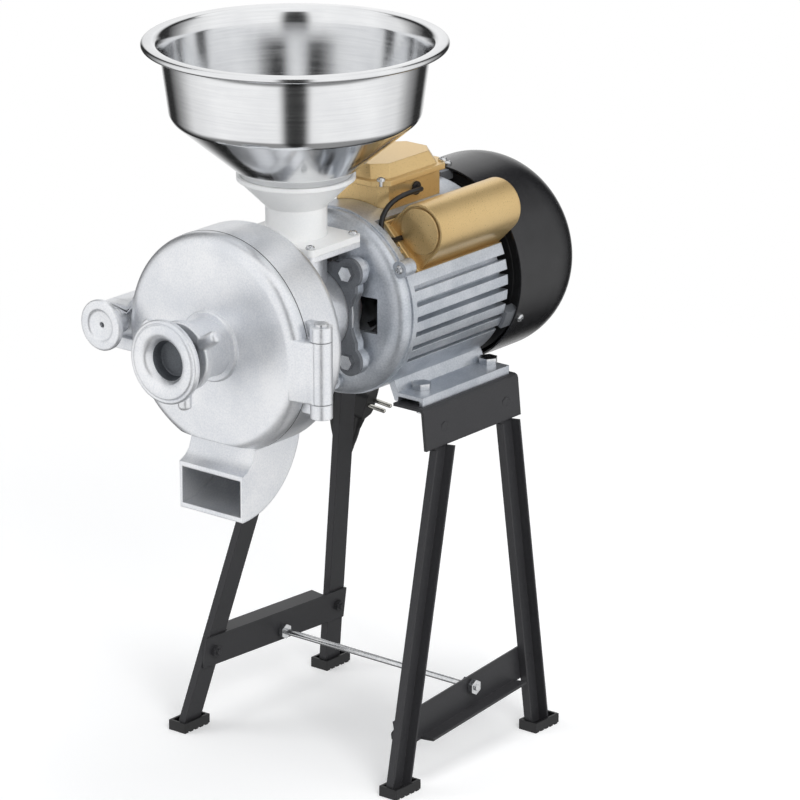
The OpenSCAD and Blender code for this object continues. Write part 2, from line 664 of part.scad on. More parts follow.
// Lugs of the front bell: angle, share of the bell's radius, share of its length
lug_shares = [[30, 1.05, 0.28], [150, 1.05, 0.28], [-81.5, 0.82, 0.62]];
module at_lugs() {
    for (s = lug_shares) let ($lug = s[2] * bell_len) translate([s[1] * bell_r * cos(s[0]), body_y,
        shaft_z + s[1] * bell_r * sin(s[0])]) rotate([90, 0, 0]) children();
}
function bell_at(s) = [s[0] * bell_r, body_y - s[1] * bell_len];
module front_bell() color([0.7, 0.72, 0.74]) difference() {
    union() {
        difference() {
            turned(concat([for (s = bell_dome_shares) bell_at(s)],
                [[hub_share * bell_r, bell_y + bell_flange_t - fit], [shaft_hole_r, bell_y + bell_flange_t - fit],
                [shaft_hole_r, bearing_y], [front_bearing_r, bearing_y],
                [front_bearing_r, bearing_y + front_bearing_t + 1],
                [hub_share * bell_r, bearing_y + front_bearing_t + 1]],
                [for (s = bell_inner_shares) bell_at(s)],
                [[body_bore - 4, body_y + bell_spigot], [body_bore - fit, body_y + bell_spigot],
                [body_bore - fit, body_y]]));
            for (a = [0, 90, 180, 270]) outline(bell_y + bell_flange_t - cut, bell_len - bell_flange_t - 6)
                rotate(a) translate([window_r0_share * bell_r, -window_w / 2])
                square([(window_r1_share - window_r0_share) * bell_r, window_w]);
        }
        outline(bell_y, bell_flange_t) scalloped(shaft_hole_r);
        at_flange_bolts(bell_y + bell_flange_t / 2) cylinder(r = arm_r, h = bell_len - bell_flange_t);
        at_lugs() cylinder(r = lug_r, h = $lug);
    }
    at_flange_bolts(bell_y - cut) cylinder(d = bolt_d + hole_c, h = 1.5 * bell_flange_t + 2 * cut);
    at_lugs() translate([0, 0, -cut]) cylinder(d = small_d + hole_c, h = $lug + 2 * cut);
}
module bell_screws() color(zinc) {
    at_lugs() translate([0, 0, $lug + fit]) pan_screw(small_d, small_head_d, small_head_t, $lug + body_ring - fit);
    for (a = tab_as) translate([tab_r * cos(a), tab_y + tab_len / 2, shaft_z + tab_r * sin(a)])
        rotate([0, 90 - a, 0]) translate([0, 0, fan_cover_r - tab_r + fit])
        pan_screw(small_d, small_head_d, small_head_t, small_len);
}
rear_t = 10;
module rear_bell() color(cast_dark) {
    turned([[rear_bearing_r, body_end - 8], [rear_bearing_r + 6, body_end - 8], [rear_bearing_r + 6, body_end],
        [body_bore - 4, body_end], [body_bore - 4, body_end - bell_spigot],
        [body_bore - fit, body_end - bell_spigot], [body_bore - fit, body_end], [rear_r, body_end],
        [rear_r, body_end + rear_t / 2], [rear_r * 0.94, body_end + rear_t * 0.9],
        [rear_r * 0.5, body_end + rear_t], [rear_seat_r + 3, body_end + rear_t],
        [rear_seat_r + 3, body_end - 8 + rear_bearing_t], [rear_bearing_r, body_end - 8 + rear_bearing_t]]);
    for (a = tab_as) difference() {
        intersection() {
            along(tab_r, body_end, tab_y + tab_len - body_end);
            union() {
                tab_bar(a, rear_r / 2, body_end + fit, rear_t - 2 * fit);
                tab_bar(a, fan_r + 2, body_end + rear_t / 2, tab_y + tab_len - body_end - rear_t / 2);
            }
        }
        translate([0, tab_y + tab_len / 2, shaft_z]) rotate([0, 90 - a, 0]) cylinder(d = small_d + hole_c, h = 2 * fan_cover_r);
    }
}
module tab_bar(a, r, y, l) {
    outline(y, l) rotate(a) translate([r, -tab_w / 2]) square([fan_cover_r - r, tab_w]);
}
rear_r = body_bore + 4;
tab_as = [-24, 90, 204];
tab_w = 18;
tab_len = 16;
tab_r = fan_cover_r - fan_cover_t - loose;
tab_y = fan_cover_y;
module bearing(r, bore, t, y) {
    race = (r - bore) * 0.28;
    dip = t * 0.08;
    turned([[bore, y], [bore + race, y], [bore + race, y + dip], [r - race, y + dip], [r - race, y], [r, y],
        [r, y + t], [r - race, y + t], [r - race, y + t - dip], [bore + race, y + t - dip],
        [bore + race, y + t], [bore, y + t]]);
}
module front_bearing() color(zinc) bearing(front_bearing_r - fit, front_seat_r + fit, front_bearing_t, bearing_y + fit);
module rear_bearing() color(zinc)
    bearing(rear_bearing_r - fit, rear_seat_r + fit, rear_bearing_t - fit, body_end - 8);

stack_len = 80;
stack_y = (body_y + body_end - stack_len) / 2;
air_r = 43;
slot_count = 24;
slot_depth = 14;
slot_w = 4;
module stator_core() color([0.4, 0.41, 0.43]) outline(stack_y, stack_len) difference() {
    ring2(body_bore - fit, air_r);
    for (k = [0:slot_count - 1]) rotate(k * 360 / slot_count) translate([air_r + 1, -slot_w / 2])
        square([slot_depth, slot_w]);
}
winding_len = 20;
winding_r = 57;
winding_t = 10;
module winding_ring() {
    rotate([-90, 0, 0]) rotate_extrude() union() {
        translate([winding_r - winding_t, 0]) square([2 * winding_t, winding_len - winding_t]);
        translate([winding_r, winding_len - winding_t]) circle(winding_t);
    }
}
module stator_windings() color([0.62, 0.32, 0.16]) {
    translate([0, stack_y + stack_len + fit, shaft_z]) winding_ring();
    translate([0, stack_y - fit, shaft_z]) mirror([0, 1, 0]) winding_ring();
}
rotor_gap = 0.5;
end_ring = 9;
rotor_bore = shaft_r + 2;
module rotor_core() color([0.55, 0.56, 0.58]) difference() {
    union() {
        along(air_r - rotor_gap, stack_y, stack_len);
        along(air_r - 5, stack_y - end_ring, stack_len + 2 * end_ring);
        for (k = [0:7]) outline(stack_y - 1.8 * end_ring, stack_len + 3.6 * end_ring)
            rotate(k * 45) translate([air_r - 12, -1.5]) square([5, 3]);
    }
    along(rotor_bore + fit / 2, stack_y - 3 * end_ring, stack_len + 6 * end_ring);
}
fan_y = body_end + rear_t + 8;
fan_len = 34;
fan_bore = rear_seat_r - 2;
fan_disc_t = 3;
blade_count = 8;
blade_t = 2.5;
module motor_shaft() color(zinc) turned([[0, nose_y], [nose_r - 1, nose_y], [nose_r, nose_y + 1],
    [nose_r, shoulder_y], [shaft_r, shoulder_y], [shaft_r, bearing_y + fit], [front_seat_r, bearing_y + fit],
    [front_seat_r, bearing_y + front_bearing_t + 1], [rotor_bore, bearing_y + front_bearing_t + 2],
    [rotor_bore, body_end - 12], [rear_seat_r + 2, body_end - 9], [rear_seat_r + 2, body_end - 8 - fit],
    [rear_seat_r, body_end - 8 - fit], [rear_seat_r, body_end + rear_t - 2], [fan_bore, body_end + rear_t],
    [fan_bore, fan_y + fan_len - 2], [fan_bore - 1, fan_y + fan_len - 1], [0, fan_y + fan_len - 1]]);
module cooling_fan() color([0.16, 0.16, 0.17]) difference() {
    union() {
        along(fan_r, fan_y, fan_disc_t);
        along(fan_bore + 7, fan_y, fan_len);
        for (k = [0:blade_count - 1]) outline(fan_y + fan_disc_t / 2, fan_len - fan_disc_t)
            rotate(k * 360 / blade_count) translate([fan_bore + 4, -blade_t / 2])
            square([fan_r - fan_bore - 4, blade_t]);
    }
    along(fan_bore + fit / 2, fan_y - cut, fan_len + 2 * cut);
}

// Drawn fan cover with a rounded back and a round field of air holes
fan_back_r = fan_cover_r - fan_cover_round;
vent_r = 2.6;
vent_pitch = 7;
vent_rings = 4;
module fan_cover() color([0.09, 0.09, 0.1]) difference() {
    translate([0, fan_cover_y, shaft_z]) rotate([-90, 0, 0]) rotate_extrude() difference() {
        dish(fan_cover_r, fan_cover_len, fan_cover_round);
        translate([0, -cut]) dish(fan_cover_r - fan_cover_t, fan_cover_len - fan_cover_t + cut,
            fan_cover_round - fan_cover_t);
    }
    for (n = [1:vent_rings]) for (k = [0:6 * n - 1]) along(vent_r, fan_cover_y + fan_cover_len - 2 * fan_cover_t, 3 * fan_cover_t,
        x = n * vent_pitch * cos(k * 60 / n), z = n * vent_pitch * sin(k * 60 / n));
    along(vent_r, fan_cover_y + fan_cover_len - 2 * fan_cover_t, 3 * fan_cover_t);
    for (a = tab_as) translate([0, tab_y + tab_len / 2, shaft_z]) rotate([0, 90 - a, 0])
        cylinder(d = small_d + hole_c, h = 2 * fan_cover_r);
}

// Adapter plate between the motor and the mill, clamped by the four flange bolts
neck_lip = 4;
neck_lip_t = 2;
head_af = 13;
head_t = 5.5;
flange_bolt_len = adapter_t + bell_flange_t + 4;
module adapter_plate() color(cast_dark) difference() {
    outline(adapter_y, adapter_t) scalloped(neck_r + loose);
    along(neck_r + neck_lip + loose, adapter_y + adapter_t - neck_lip_t - fit, adapter_t);
    at_flange_bolts(adapter_y - cut) cylinder(d = bolt_d + hole_c, h = adapter_t + 2 * cut);
}
module flange_bolts() color(zinc) at_flange_bolts(adapter_y) mirror([0, 0, 1])
    bolt(head_af, head_t, bolt_d, flange_bolt_len);

// Mill housing: drum, neck, feed throat with its flange, chute, hinge knuckles and latch ears
web_t = 12;
web_y = drum_y - web_t;
drum_round = 12;
neck_fillet = 8;
throat_wall = 7;
throat_flange_t = 5.3;
neck_flange_t = 6.6;
throat_in = throat_top - throat_flange_t;
flange_corner = 5;
neck_screw_x = neck_fx - 6.5;
neck_screw_y = neck_fy - 5.5;
neck_screws_at = [for (x = [-neck_screw_x, neck_screw_x]) for (y = [-neck_screw_y, neck_screw_y]) [x, y]];
mouth_y = face_y - 1.5;
mouth_low = 161.5 * drum_r / 103;
chord_z = -0.888 * drum_r;
front_t = 5;
front_y = seam_y + loose;
module across(w) {
    translate([-w / 2, 0, shaft_z]) rotate([90, 0, 90]) linear_extrude(w) children();
}
chute_front_shares = [[0.42, 0.13], [0.76, 0.37], [1, 0.8]];
module chute_side(r, t) {
    low = -mouth_low;
    top = low + mouth_h;
    rise = chord_z - top;
    run = front_y - mouth_y;
    difference() {
        intersection() {
            translate([mouth_y, low + chute_r]) circle(r);
            translate([mouth_y - (t > 0 ? cut : 0), low - cut]) square([chute_r + drum_len, chute_r]);
        }
        translate([0, -t]) polygon(concat([[mouth_y - 2 * cut, top]], [[mouth_y, top]],
            [for (s = chute_front_shares) [mouth_y + (run + t) * s[0], top + rise * s[1]]],
            [[front_y + t, 0], [mouth_y - 2 * cut, 0]]));
    }
}
module rounded_plate(x, y, r) {
    square([2 * x, 2 * y - 2 * r], center = true);
    square([2 * x - 2 * r, 2 * y], center = true);
    for (i = [-1, 1]) for (j = [-1, 1]) translate([i * (x - r), j * (y - r)]) circle(r);
}
module burr_screw_places(r, y) {
    for (a = [90, 210, 330]) translate([r * cos(a), y, shaft_z + r * sin(a)]) children();
}
burr_screw_r = (burr_r + burr_hole) / 2;
hinge_y = seam_y + 1;
hinge_z = -5.6;
pin_r = 4;
hinge_gap = 0.3;
knuckle_z0 = shaft_z + hinge_z - knuckle_h / 2;
knuckle_z1 = knuckle_z0 + knuckle_h;
knuckle_arm_t = 10;
ear_in = 15;
ear_out = 26.5;
ear_x = clamp_x + 14;
latch_pin_r = 4;
latch_pin_y = seam_y + 21.5;
lug_y = seam_y - 12;
seat_y = seam_y - 6;
lug_web_r = latch_pin_y - seat_y;
module mill_housing() color(cast) difference() {
    union() {
        translate([0, 0, shaft_z]) rotate([-90, 0, 0]) rotate_extrude() {
            translate([0, seam_y]) square([drum_r, drum_len - drum_round]);
            translate([0, seam_y]) square([drum_r - drum_round, drum_len]);
            translate([drum_r - drum_round, drum_y - drum_round]) circle(drum_round);
            translate([0, drum_y - cut]) square([neck_r, cut + neck_len + adapter_t - neck_lip_t]);
            difference() {
                translate([0, drum_y - cut]) square([neck_r + neck_fillet, neck_fillet + cut]);
                translate([neck_r + neck_fillet, drum_y + neck_fillet]) circle(neck_fillet);
            }
        }
        along(neck_r + neck_lip, adapter_y + adapter_t - neck_lip_t, neck_lip_t);
        intersection() {
            translate([0, throat_y, shaft_z + neck_r / 2]) cylinder(r = throat_r + throat_wall, h = throat_in - neck_r / 2 + fit);
            translate([-drum_r, adapter_y - loose - drum_len, shaft_z]) cube([2 * drum_r, drum_len, throat_top]);
        }
        translate([0, throat_y, shaft_z + throat_in]) linear_extrude(throat_flange_t)
            rounded_plate(neck_fx, neck_fy, flange_corner);
        intersection() {
            across(chute_w) chute_side(chute_r, 0);
            translate([0, 0, shaft_z]) outline_taper();
        }
        outline(front_y, front_t) intersection() {
            circle(drum_r);
            translate([-drum_r, -drum_r]) square([2 * drum_r, drum_r + chord_z]);
        }
        for (z = [knuckle_z0 - ear_h - hinge_gap, knuckle_z1 + hinge_gap]) {
            translate([hinge_x, hinge_y, z]) cylinder(r = knuckle_r, h = ear_h);
            translate([drum_r - 1.8 * drum_t, hinge_y + 0.5, z]) cube([hinge_x - drum_r + 1.8 * drum_t, knuckle_arm_t - 0.5, ear_h]);
        }
        for (z = [ear_in, -ear_out]) translate([-ear_x, front_y, shaft_z + z])
            cube([ear_x - drum_r + 1.6 * drum_t, latch_pin_y + 11 - front_y, ear_out - ear_in]);
    }
    intersection() {
        along(drum_r - drum_t, seam_y - cut, drum_len - web_t + cut);
        union() {
            translate([-drum_r, seam_y - cut, shaft_z + chord_z]) cube([2 * drum_r, drum_len, 2 * drum_r]);
            along(drum_r, front_y + front_t, drum_len);
        }
    }
    across(chute_w - 2 * chute_t) difference() {
        chute_side(chute_r - chute_t, chute_t);
        translate([web_y, -drum_r]) square([drum_len, 2 * drum_r]);
    }
    along(throat_r, web_y - cut, 2 * drum_len + neck_len);
    translate([0, throat_y, shaft_z]) cylinder(r = throat_r, h = throat_top + cut);
    for (p = neck_screws_at) translate([p[0], throat_y + p[1], shaft_z + throat_in - cut])
        cylinder(d = small_d + hole_c, h = throat_flange_t + 2 * cut);
    translate([hinge_x, hinge_y, knuckle_z0 - ear_h - cut]) cylinder(r = pin_r + fit, h = knuckle_h + 2 * ear_h + 2 * cut);
    translate([-clamp_x, latch_pin_y, shaft_z - ear_out - cut]) cylinder(r = latch_pin_r + fit, h = 2 * (ear_out + cut));
    burr_screw_places(burr_screw_r, web_y - cut) rotate([-90, 0, 0]) cylinder(d = small_d + hole_c, h = small_len);
}
chute_taper = 2;
module outline_taper() {
    translate([0, drum_y + drum_len, 0]) rotate([90, 0, 0]) linear_extrude(3 * drum_len) polygon([[-chute_w / 2, 0],
        [-chute_w / 2 + chute_taper, -mouth_low - cut], [chute_w / 2 - chute_taper, -mouth_low - cut], [chute_w / 2, 0]]);
}

// Front cover: a dished casting cut flat above the chute, with its boss, hinge block and latch lug
boss_ring_r = boss_r + 6;
boss_ring_t = 4;
spindle_r = 12;
chord_gap = 0.6;
block_x = 0.85 * drum_r;
block_y = seam_y - 10;
block_h = knuckle_h - 2 * hinge_gap;
module mill_cover() color(cast) difference() {
    union() {
        difference() {
            translate([0, seam_y, shaft_z]) rotate([90, 0, 0]) rotate_extrude() dish(drum_r, cover_len, cover_round);
            translate([-drum_r - cut, seam_y - cover_len - cut, shaft_z - drum_r - cut])
                cube([2 * (drum_r + cut), cover_len + 2 * cut, drum_r + chord_z + chord_gap + cut]);
            intersection() {
                translate([0, seam_y + cut, shaft_z]) rotate([90, 0, 0]) rotate_extrude()
                    dish(drum_r - cover_t, cover_len - cover_t + cut, cover_round - cover_t);
                translate([-drum_r, seam_y - cover_len, shaft_z + chord_z + chord_gap + cover_t])
                    cube([2 * drum_r, cover_len + 2 * cut, 2 * drum_r]);
            }
        }
        turned([[0, seam_y - 1.5 * cover_t], [boss_ring_r + 2, seam_y - 1.5 * cover_t], [boss_ring_r, face_y - cut],
            [boss_ring_r, face_y - boss_ring_t + 1], [boss_ring_r - 1, face_y - boss_ring_t], [boss_r, face_y - boss_ring_t],
            [boss_r, boss_y + 1], [boss_r - 1, boss_y], [0, boss_y]]);
        translate([hinge_x, hinge_y, knuckle_z0 + hinge_gap]) cylinder(r = knuckle_r, h = block_h);
        translate([block_x, block_y, knuckle_z0 + hinge_gap]) cube([hinge_x - block_x, seam_y - fit - block_y, block_h]);
        translate([0, 0, shaft_z - ear_out]) linear_extrude(2 * ear_out) intersection() {
            translate([-ear_x, seat_y]) square([ear_x - drum_r + 2 * cover_t, seam_y - seat_y - fit]);
            union() {
                translate([-clamp_x, seat_y]) square([clamp_x, seam_y - seat_y]);
                translate([-clamp_x, latch_pin_y]) circle(lug_web_r);
            }
        }
        for (z = [ear_in, -ear_out]) translate([-ear_x, lug_y, shaft_z + z])
            cube([ear_x - drum_r + 2 * cover_t, seam_y - fit - lug_y, ear_out - ear_in]);
    }
    translate([-ear_x - cut, lug_y - cut, shaft_z - swing_r - loose]) cube([ear_x + cut - clamp_x + swing_r + loose, 3 * cover_len, 2 * (swing_r + loose)]);
    along(spindle_r + fit, boss_y - cut, boss_len + cover_len + 2 * cut);
    translate([hinge_x, hinge_y, knuckle_z0 - cut]) cylinder(r = pin_r + fit, h = knuckle_h + 2 * cut);
}
pin_head_r = 6.5;
pin_head_t = 2.6;
module hinge_pin() color(zinc) translate([hinge_x, hinge_y, knuckle_z0 - ear_h - hinge_gap - 2]) {
    pin_len = knuckle_h + 2 * ear_h + 2 * hinge_gap + 2;
    cylinder(r = pin_r, h = pin_len + fit);
    translate([0, 0, pin_len + fit]) cylinder(r = pin_head_r, h = pin_head_t);
}

// Latch: swing bolt on its pin, washer and round clamp knob
swing_r = 5;
eye_r = 10;
eye_h = 2 * (ear_in - loose);
clamp_washer_t = 2;
clamp_hub_r = 12.5;
clamp_disc_t = 6;
clamp_hub_len = 20.5;
clamp_hub_y = seat_y - clamp_washer_t;
clamp_disc_y = clamp_hub_y - clamp_hub_len;
swing_tip_y = clamp_disc_y + 1.5;
clamp_recess_r = 15.2;
clamp_recess_d = 2;
clamp_hole_r = 2.5;
module swing_bolt() color(zinc) difference() {
    union() {
        along(swing_r, swing_tip_y, latch_pin_y - swing_tip_y, x = -clamp_x);
        translate([-clamp_x, latch_pin_y, shaft_z - eye_h / 2]) cylinder(r = eye_r, h = eye_h);
    }
    translate([-clamp_x, latch_pin_y, shaft_z - eye_h]) cylinder(r = latch_pin_r + fit, h = 2 * eye_h);
}
module swing_pin() color(zinc) translate([-clamp_x, latch_pin_y, shaft_z - ear_out - 1])
    cylinder(r = latch_pin_r, h = 2 * ear_out + 2);
module clamp_at() {
    translate([-clamp_x, 0, shaft_z]) rotate([90, 0, 0]) children();
}
module clamp_washer() color(zinc) clamp_at() translate([0, 0, -seat_y]) difference() {
    cylinder(r = clamp_hub_r, h = clamp_washer_t);
    translate([0, 0, -cut]) cylinder(r = swing_r + fit, h = clamp_washer_t + 2 * cut);
}
module clamp_knob() color(cast) clamp_at() rotate_extrude() difference() {
    polygon([[swing_r + fit, -clamp_hub_y], [clamp_hub_r, -clamp_hub_y], [clamp_hub_r, -clamp_hub_y + 2],
        [clamp_hub_r * 0.8, -clamp_disc_y], [clamp_r - 1.5, -clamp_disc_y], [clamp_r, -clamp_disc_y + 1.5],
        [clamp_r, -clamp_disc_y + clamp_disc_t - 2], [clamp_r - 2, -clamp_disc_y + clamp_disc_t],
        [clamp_recess_r, -clamp_disc_y + clamp_disc_t], [clamp_recess_r - 1.5, -clamp_disc_y + clamp_disc_t - clamp_recess_d],
        [clamp_hole_r, -clamp_disc_y + clamp_disc_t - clamp_recess_d - 0.8], [clamp_hole_r, -clamp_disc_y + 0.5],
        [swing_r + fit, -clamp_disc_y + 0.5]]);
}

// Adjusting screw with its knob, lock ring and thrust pad
burr_y = web_y - burr_t;
rotor_burr_y = burr_y - burr_gap - burr_t;
carrier_t = 8;
carrier_y = rotor_burr_y - carrier_t;
spindle_tip_y = carrier_y - 6;
pad_t = 5;
pad_r = 9;
knob_shares = [[0.615, 1], [0.79, 1], [0.846, 0.84], [0.846, 0.52], [0.96, 0.5], [1, 0.4], [1, 0.16], [0.96, 0],
    [0.85, 0], [0.78, 0.08], [0.74, 0.3], [0.56, 0.62], [0.44, 0.86], [0.43, 1.25]];
knob_floor = 1.25;
module adjusting_knob() color(cast) turned(concat([[spindle_r + fit / 2, lock_y - fit], [sleeve_r, lock_y - fit]],
    [for (s = knob_shares) if (s[0] > 0.615 || s[1] < 1) [s[0] * knob_r, knob_y - knob_len + s[1] * knob_len]],
    [[spindle_r + fit / 2, knob_y - knob_len + knob_floor * knob_len]]));
sleeve_r = 24;
module adjusting_spindle() color(zinc) turned([[0, pad_y], [spindle_r - 3, pad_y], [spindle_r - 3, pad_y - 6],
    [spindle_r, pad_y - 8], [spindle_r, knob_y - knob_len + knob_floor * knob_len + 1],
    [spindle_r - 1, knob_y - knob_len + knob_floor * knob_len], [0, knob_y - knob_len + knob_floor * knob_len]]);
pad_y = spindle_tip_y - pad_t;
module thrust_pad() color([0.72, 0.55, 0.3]) turned([[0, pad_y + fit], [pad_r, pad_y + fit], [pad_r, spindle_tip_y - 1.5],
    [pad_r - 1.5, spindle_tip_y - fit], [0, spindle_tip_y - fit]]);
stub_r = 6.5;
module lock_ring() color(cast) difference() {
    union() {
        turned([[0, lock_y], [lock_r - 1.5, lock_y], [lock_r, lock_y + 1.5], [lock_r, boss_y - 1.5],
            [lock_r - 1.5, boss_y - fit], [0, boss_y - fit]]);
        for (a = [30, 150, 270]) translate([0, lock_y + lock_t / 2, shaft_z]) rotate([0, 90 - a, 0])
            translate([0, 0, lock_r - stub_r]) rotate_extrude() polygon([[0, 0], [lock_t * 0.47, 0],
                [lock_t * 0.47, stub_reach - lock_r + stub_r - 2], [lock_t * 0.3, stub_reach - lock_r + stub_r],
                [0, stub_reach - lock_r + stub_r]]);
    }
    along(spindle_r + fit, lock_y - cut, lock_t + 2 * cut);
}

// Grinding burrs: furrows that run out towards the rim, fine teeth round the rim, three screws
furrow_count = 16;
furrow_w = 7;
rim_count = 48;
rim_w = 1.6;
rim_len = 7;
furrow_tilt = 8;
furrow_turn = 0.13;
furrow_side = 4;
module burr(flip) {
    difference() {
        linear_extrude(burr_t) ring2(burr_r, burr_hole);
        for (k = [0:furrow_count - 1]) rotate((k + furrow_turn) * 360 / furrow_count)
            translate([burr_hole, furrow_side, burr_t + loose])
            rotate([0, -furrow_tilt, 0]) rotate([45, 0, 0]) translate([-furrow_w, -furrow_w / 2, -furrow_w / 2])
            cube([(burr_r - burr_hole), furrow_w, furrow_w]);
        for (k = [0:rim_count - 1]) rotate(k * 360 / rim_count) translate([burr_r - rim_len, 0, burr_t + loose])
            rotate([45, 0, 0]) translate([0, -rim_w / 2, -rim_w / 2]) cube([rim_len + cut, rim_w, rim_w]);
        for (a = [90, 210, 330]) translate([burr_screw_r * cos(a), burr_screw_r * sin(a) * flip, -cut]) {
            cylinder(d = small_d + hole_c, h = burr_t + 2 * cut);
            translate([0, 0, burr_t - screw_sink]) cylinder(d = small_head_d + hole_c, h = burr_t);
        }
    }
}
iron = [0.5, 0.51, 0.52];
module stationary_burr() color(iron) translate([0, web_y, shaft_z]) rotate([90, 0, 0]) burr(1);
module rotating_burr() color(iron) translate([0, rotor_burr_y, shaft_z]) rotate([-90, 0, 0]) burr(-1);
flat_head_t = 1.6;
screw_sink = 2;
module flat_screw(len) {
    difference() {
        cylinder(d = small_head_d, h = flat_head_t);
        for (a = [0, 90]) rotate(a) translate([-small_head_d * 0.3, -flat_head_t * 0.3, flat_head_t / 2])
            cube([small_head_d * 0.6, flat_head_t * 0.6, flat_head_t]);
    }
    translate([0, 0, -len]) cylinder(d = small_d, h = len);
}
module burr_screws() color(zinc) burr_screw_places(burr_screw_r, burr_y + screw_sink - fit)
    rotate([90, 0, 0]) flat_screw(burr_t + small_len / 2 - screw_sink);
module rotor_screws() color(zinc) burr_screw_places(burr_screw_r, rotor_burr_y + burr_t - screw_sink + fit)
    rotate([-90, 0, 0]) flat_screw(burr_t + carrier_t / 2 - screw_sink);

// Carrier of the turning burr: it slides on the end of the shaft and has two stirring wings
nose_r = 9;
shoulder_y = burr_y - 1;
nose_y = carrier_y + 3;
carrier_r = burr_r - 3;
hub_r = 17;
wing_r = burr_hole - 3;
wing_t = 6;
wing_len = burr_gap + burr_t - 1;
key_w = 4;
module burr_carrier() color(iron) difference() {
    union() {
        along(carrier_r, carrier_y, carrier_t - fit);
        along(hub_r, carrier_y, shoulder_y - carrier_y - 2);
        outline(carrier_y + carrier_t / 2, carrier_t / 2 + wing_len) square([2 * wing_r, wing_t], center = true);
        turned([[0, spindle_tip_y], [pad_r - 2, spindle_tip_y], [pad_r, carrier_y + cut], [0, carrier_y + cut]]);
    }
    along(nose_r + fit, nose_y, shoulder_y - nose_y + drum_len);
    burr_screw_places(burr_screw_r, carrier_y + carrier_t / 2 - fit) rotate([-90, 0, 0])
        cylinder(d = small_d + hole_c, h = carrier_t);
}

// Feed screw: one thread rises from a sleeve on the shaft
auger_r = throat_r - 0.5;
auger_core_r = shaft_r + 2.5;
auger_y0 = burr_y + 0.5;
auger_len = adapter_y + adapter_t - 1 - auger_y0;
auger_pitch = 30;
thread_a = 24;
module auger() color(zinc) difference() {
    translate([0, auger_y0, shaft_z]) rotate([-90, 0, 0]) union() {
        cylinder(r = auger_core_r, h = auger_len);
        linear_extrude(auger_len, twist = -360 * auger_len / auger_pitch,
            slices = 16 * ceil(auger_len / auger_pitch), $fn = 8)
            polygon(concat([polar(auger_core_r - 1, 0)], [for (a = [-thread_a:thread_a / 2:thread_a]) polar(auger_r, a)]));
    }
    along(shaft_r + fit / 2, auger_y0 - cut, auger_len + 2 * cut);
}

// White feed neck between the housing and the hopper
white = [0.93, 0.93, 0.92];
steel = [0.8, 0.81, 0.82];
neck_z0 = throat_top;
neck_z1 = neck_z0 + neck_flange_t;
outlet_z = neck_z1 + neck_h;
neck_wall = 4.5;
neck_cone_share = 0.53;
lip_h = 6;
seat_h = 4;
hopper_t = 1.2;
module feed_neck() color(white) translate([0, throat_y, shaft_z]) difference() {
    union() {
        translate([0, 0, neck_z0]) linear_extrude(neck_flange_t) rounded_plate(neck_fx, neck_fy, flange_corner);
        translate([0, 0, neck_z0]) rotate_extrude() polygon([[0, 0], [neck_tube_r, 0],
            [neck_tube_r, neck_flange_t + neck_h * neck_cone_share],
            [outlet_r + hopper_t, neck_flange_t + neck_h - 1], [outlet_r + hopper_t + 2, neck_flange_t + neck_h],
            [outlet_r + hopper_t + 2, neck_flange_t + neck_h + seat_h], [0, neck_flange_t + neck_h + seat_h]]);
    }
    translate([0, 0, neck_z0]) rotate_extrude() polygon([[0, -cut], [neck_tube_r - neck_wall, -cut],
        [neck_tube_r - neck_wall, neck_flange_t + neck_h * neck_cone_share + neck_wall / 2],
        [outlet_r - neck_wall, neck_flange_t + neck_h - fit], [outlet_r + loose, neck_flange_t + neck_h - fit],
        [outlet_r + loose, neck_flange_t + neck_h + seat_h + cut], [0, neck_flange_t + neck_h + seat_h + cut]]);
    for (p = neck_screws_at) translate([p[0], p[1], neck_z0 - cut]) cylinder(d = small_d + hole_c, h = neck_flange_t + 2 * cut);
}
module neck_screws() color(zinc) for (p = neck_screws_at)
    translate([p[0], throat_y + p[1], shaft_z + neck_z1 + 2 * fit])
        pan_screw(small_d, small_head_d, small_head_t, neck_flange_t + throat_flange_t);

// Spun hopper: outlet lip, cone, wall and rolled rim
cone_h_share = 0.456;
wall_top_share = 0.93;
flare_share = 0.97;
rim_roll = 3;
rim_in = 10;
module hopper() color(steel) translate([0, throat_y, shaft_z + outlet_z]) rotate_extrude() {
    h = hopper_h;
    t = hopper_t;
    polygon([[outlet_r, 0], [outlet_r, lip_h], [crease_r, h * cone_h_share], [hopper_r, h * wall_top_share],
        [hopper_r + 2, h * flare_share - 1], [rim_r - rim_in, h - t], [rim_r - rim_roll, h - t],
        [rim_r - rim_roll, h], [rim_r - rim_in - 2 * t, h], [hopper_r - t + 2, h * flare_share],
        [hopper_r - t, h * wall_top_share], [crease_r - t, h * cone_h_share + t * 0.4],
        [outlet_r - t, lip_h + t * 0.4], [outlet_r - t, 0]]);
    translate([rim_r - rim_roll, h - rim_roll]) circle(rim_roll);
}

// Glands of the terminal box and the lead to the capacitor
black = [0.07, 0.07, 0.07];
gland_out = 3;
inlet_len = 20;
gland_rim = 2.5;
module gland(d, len) {
    rotate_extrude() polygon([[0, -box_t - 3], [d / 2, -box_t - 3], [d / 2, fit], [d / 2 + gland_rim, fit],
        [d / 2 + gland_rim, len * 0.35], [d / 2, len * 0.45], [d / 2 * 0.9, len], [0, len]]);
}
function box_wall(flare, d) = box_x + flare * (box_top - gland_z + d / 2 + gland_rim) / (box_top - 0.8 * rib_r);
gland_x = box_wall(box_flare * 0.4, gland_d);
inlet_x = box_wall(box_flare, inlet_d);
module glands() color(black) {
    translate([gland_x, gland_y, shaft_z + gland_z]) rotate([0, 90, 0]) gland(gland_d, gland_out);
    translate([-inlet_x, inlet_y, shaft_z + gland_z]) rotate([0, -90, 0]) gland(inlet_d, inlet_len);
}

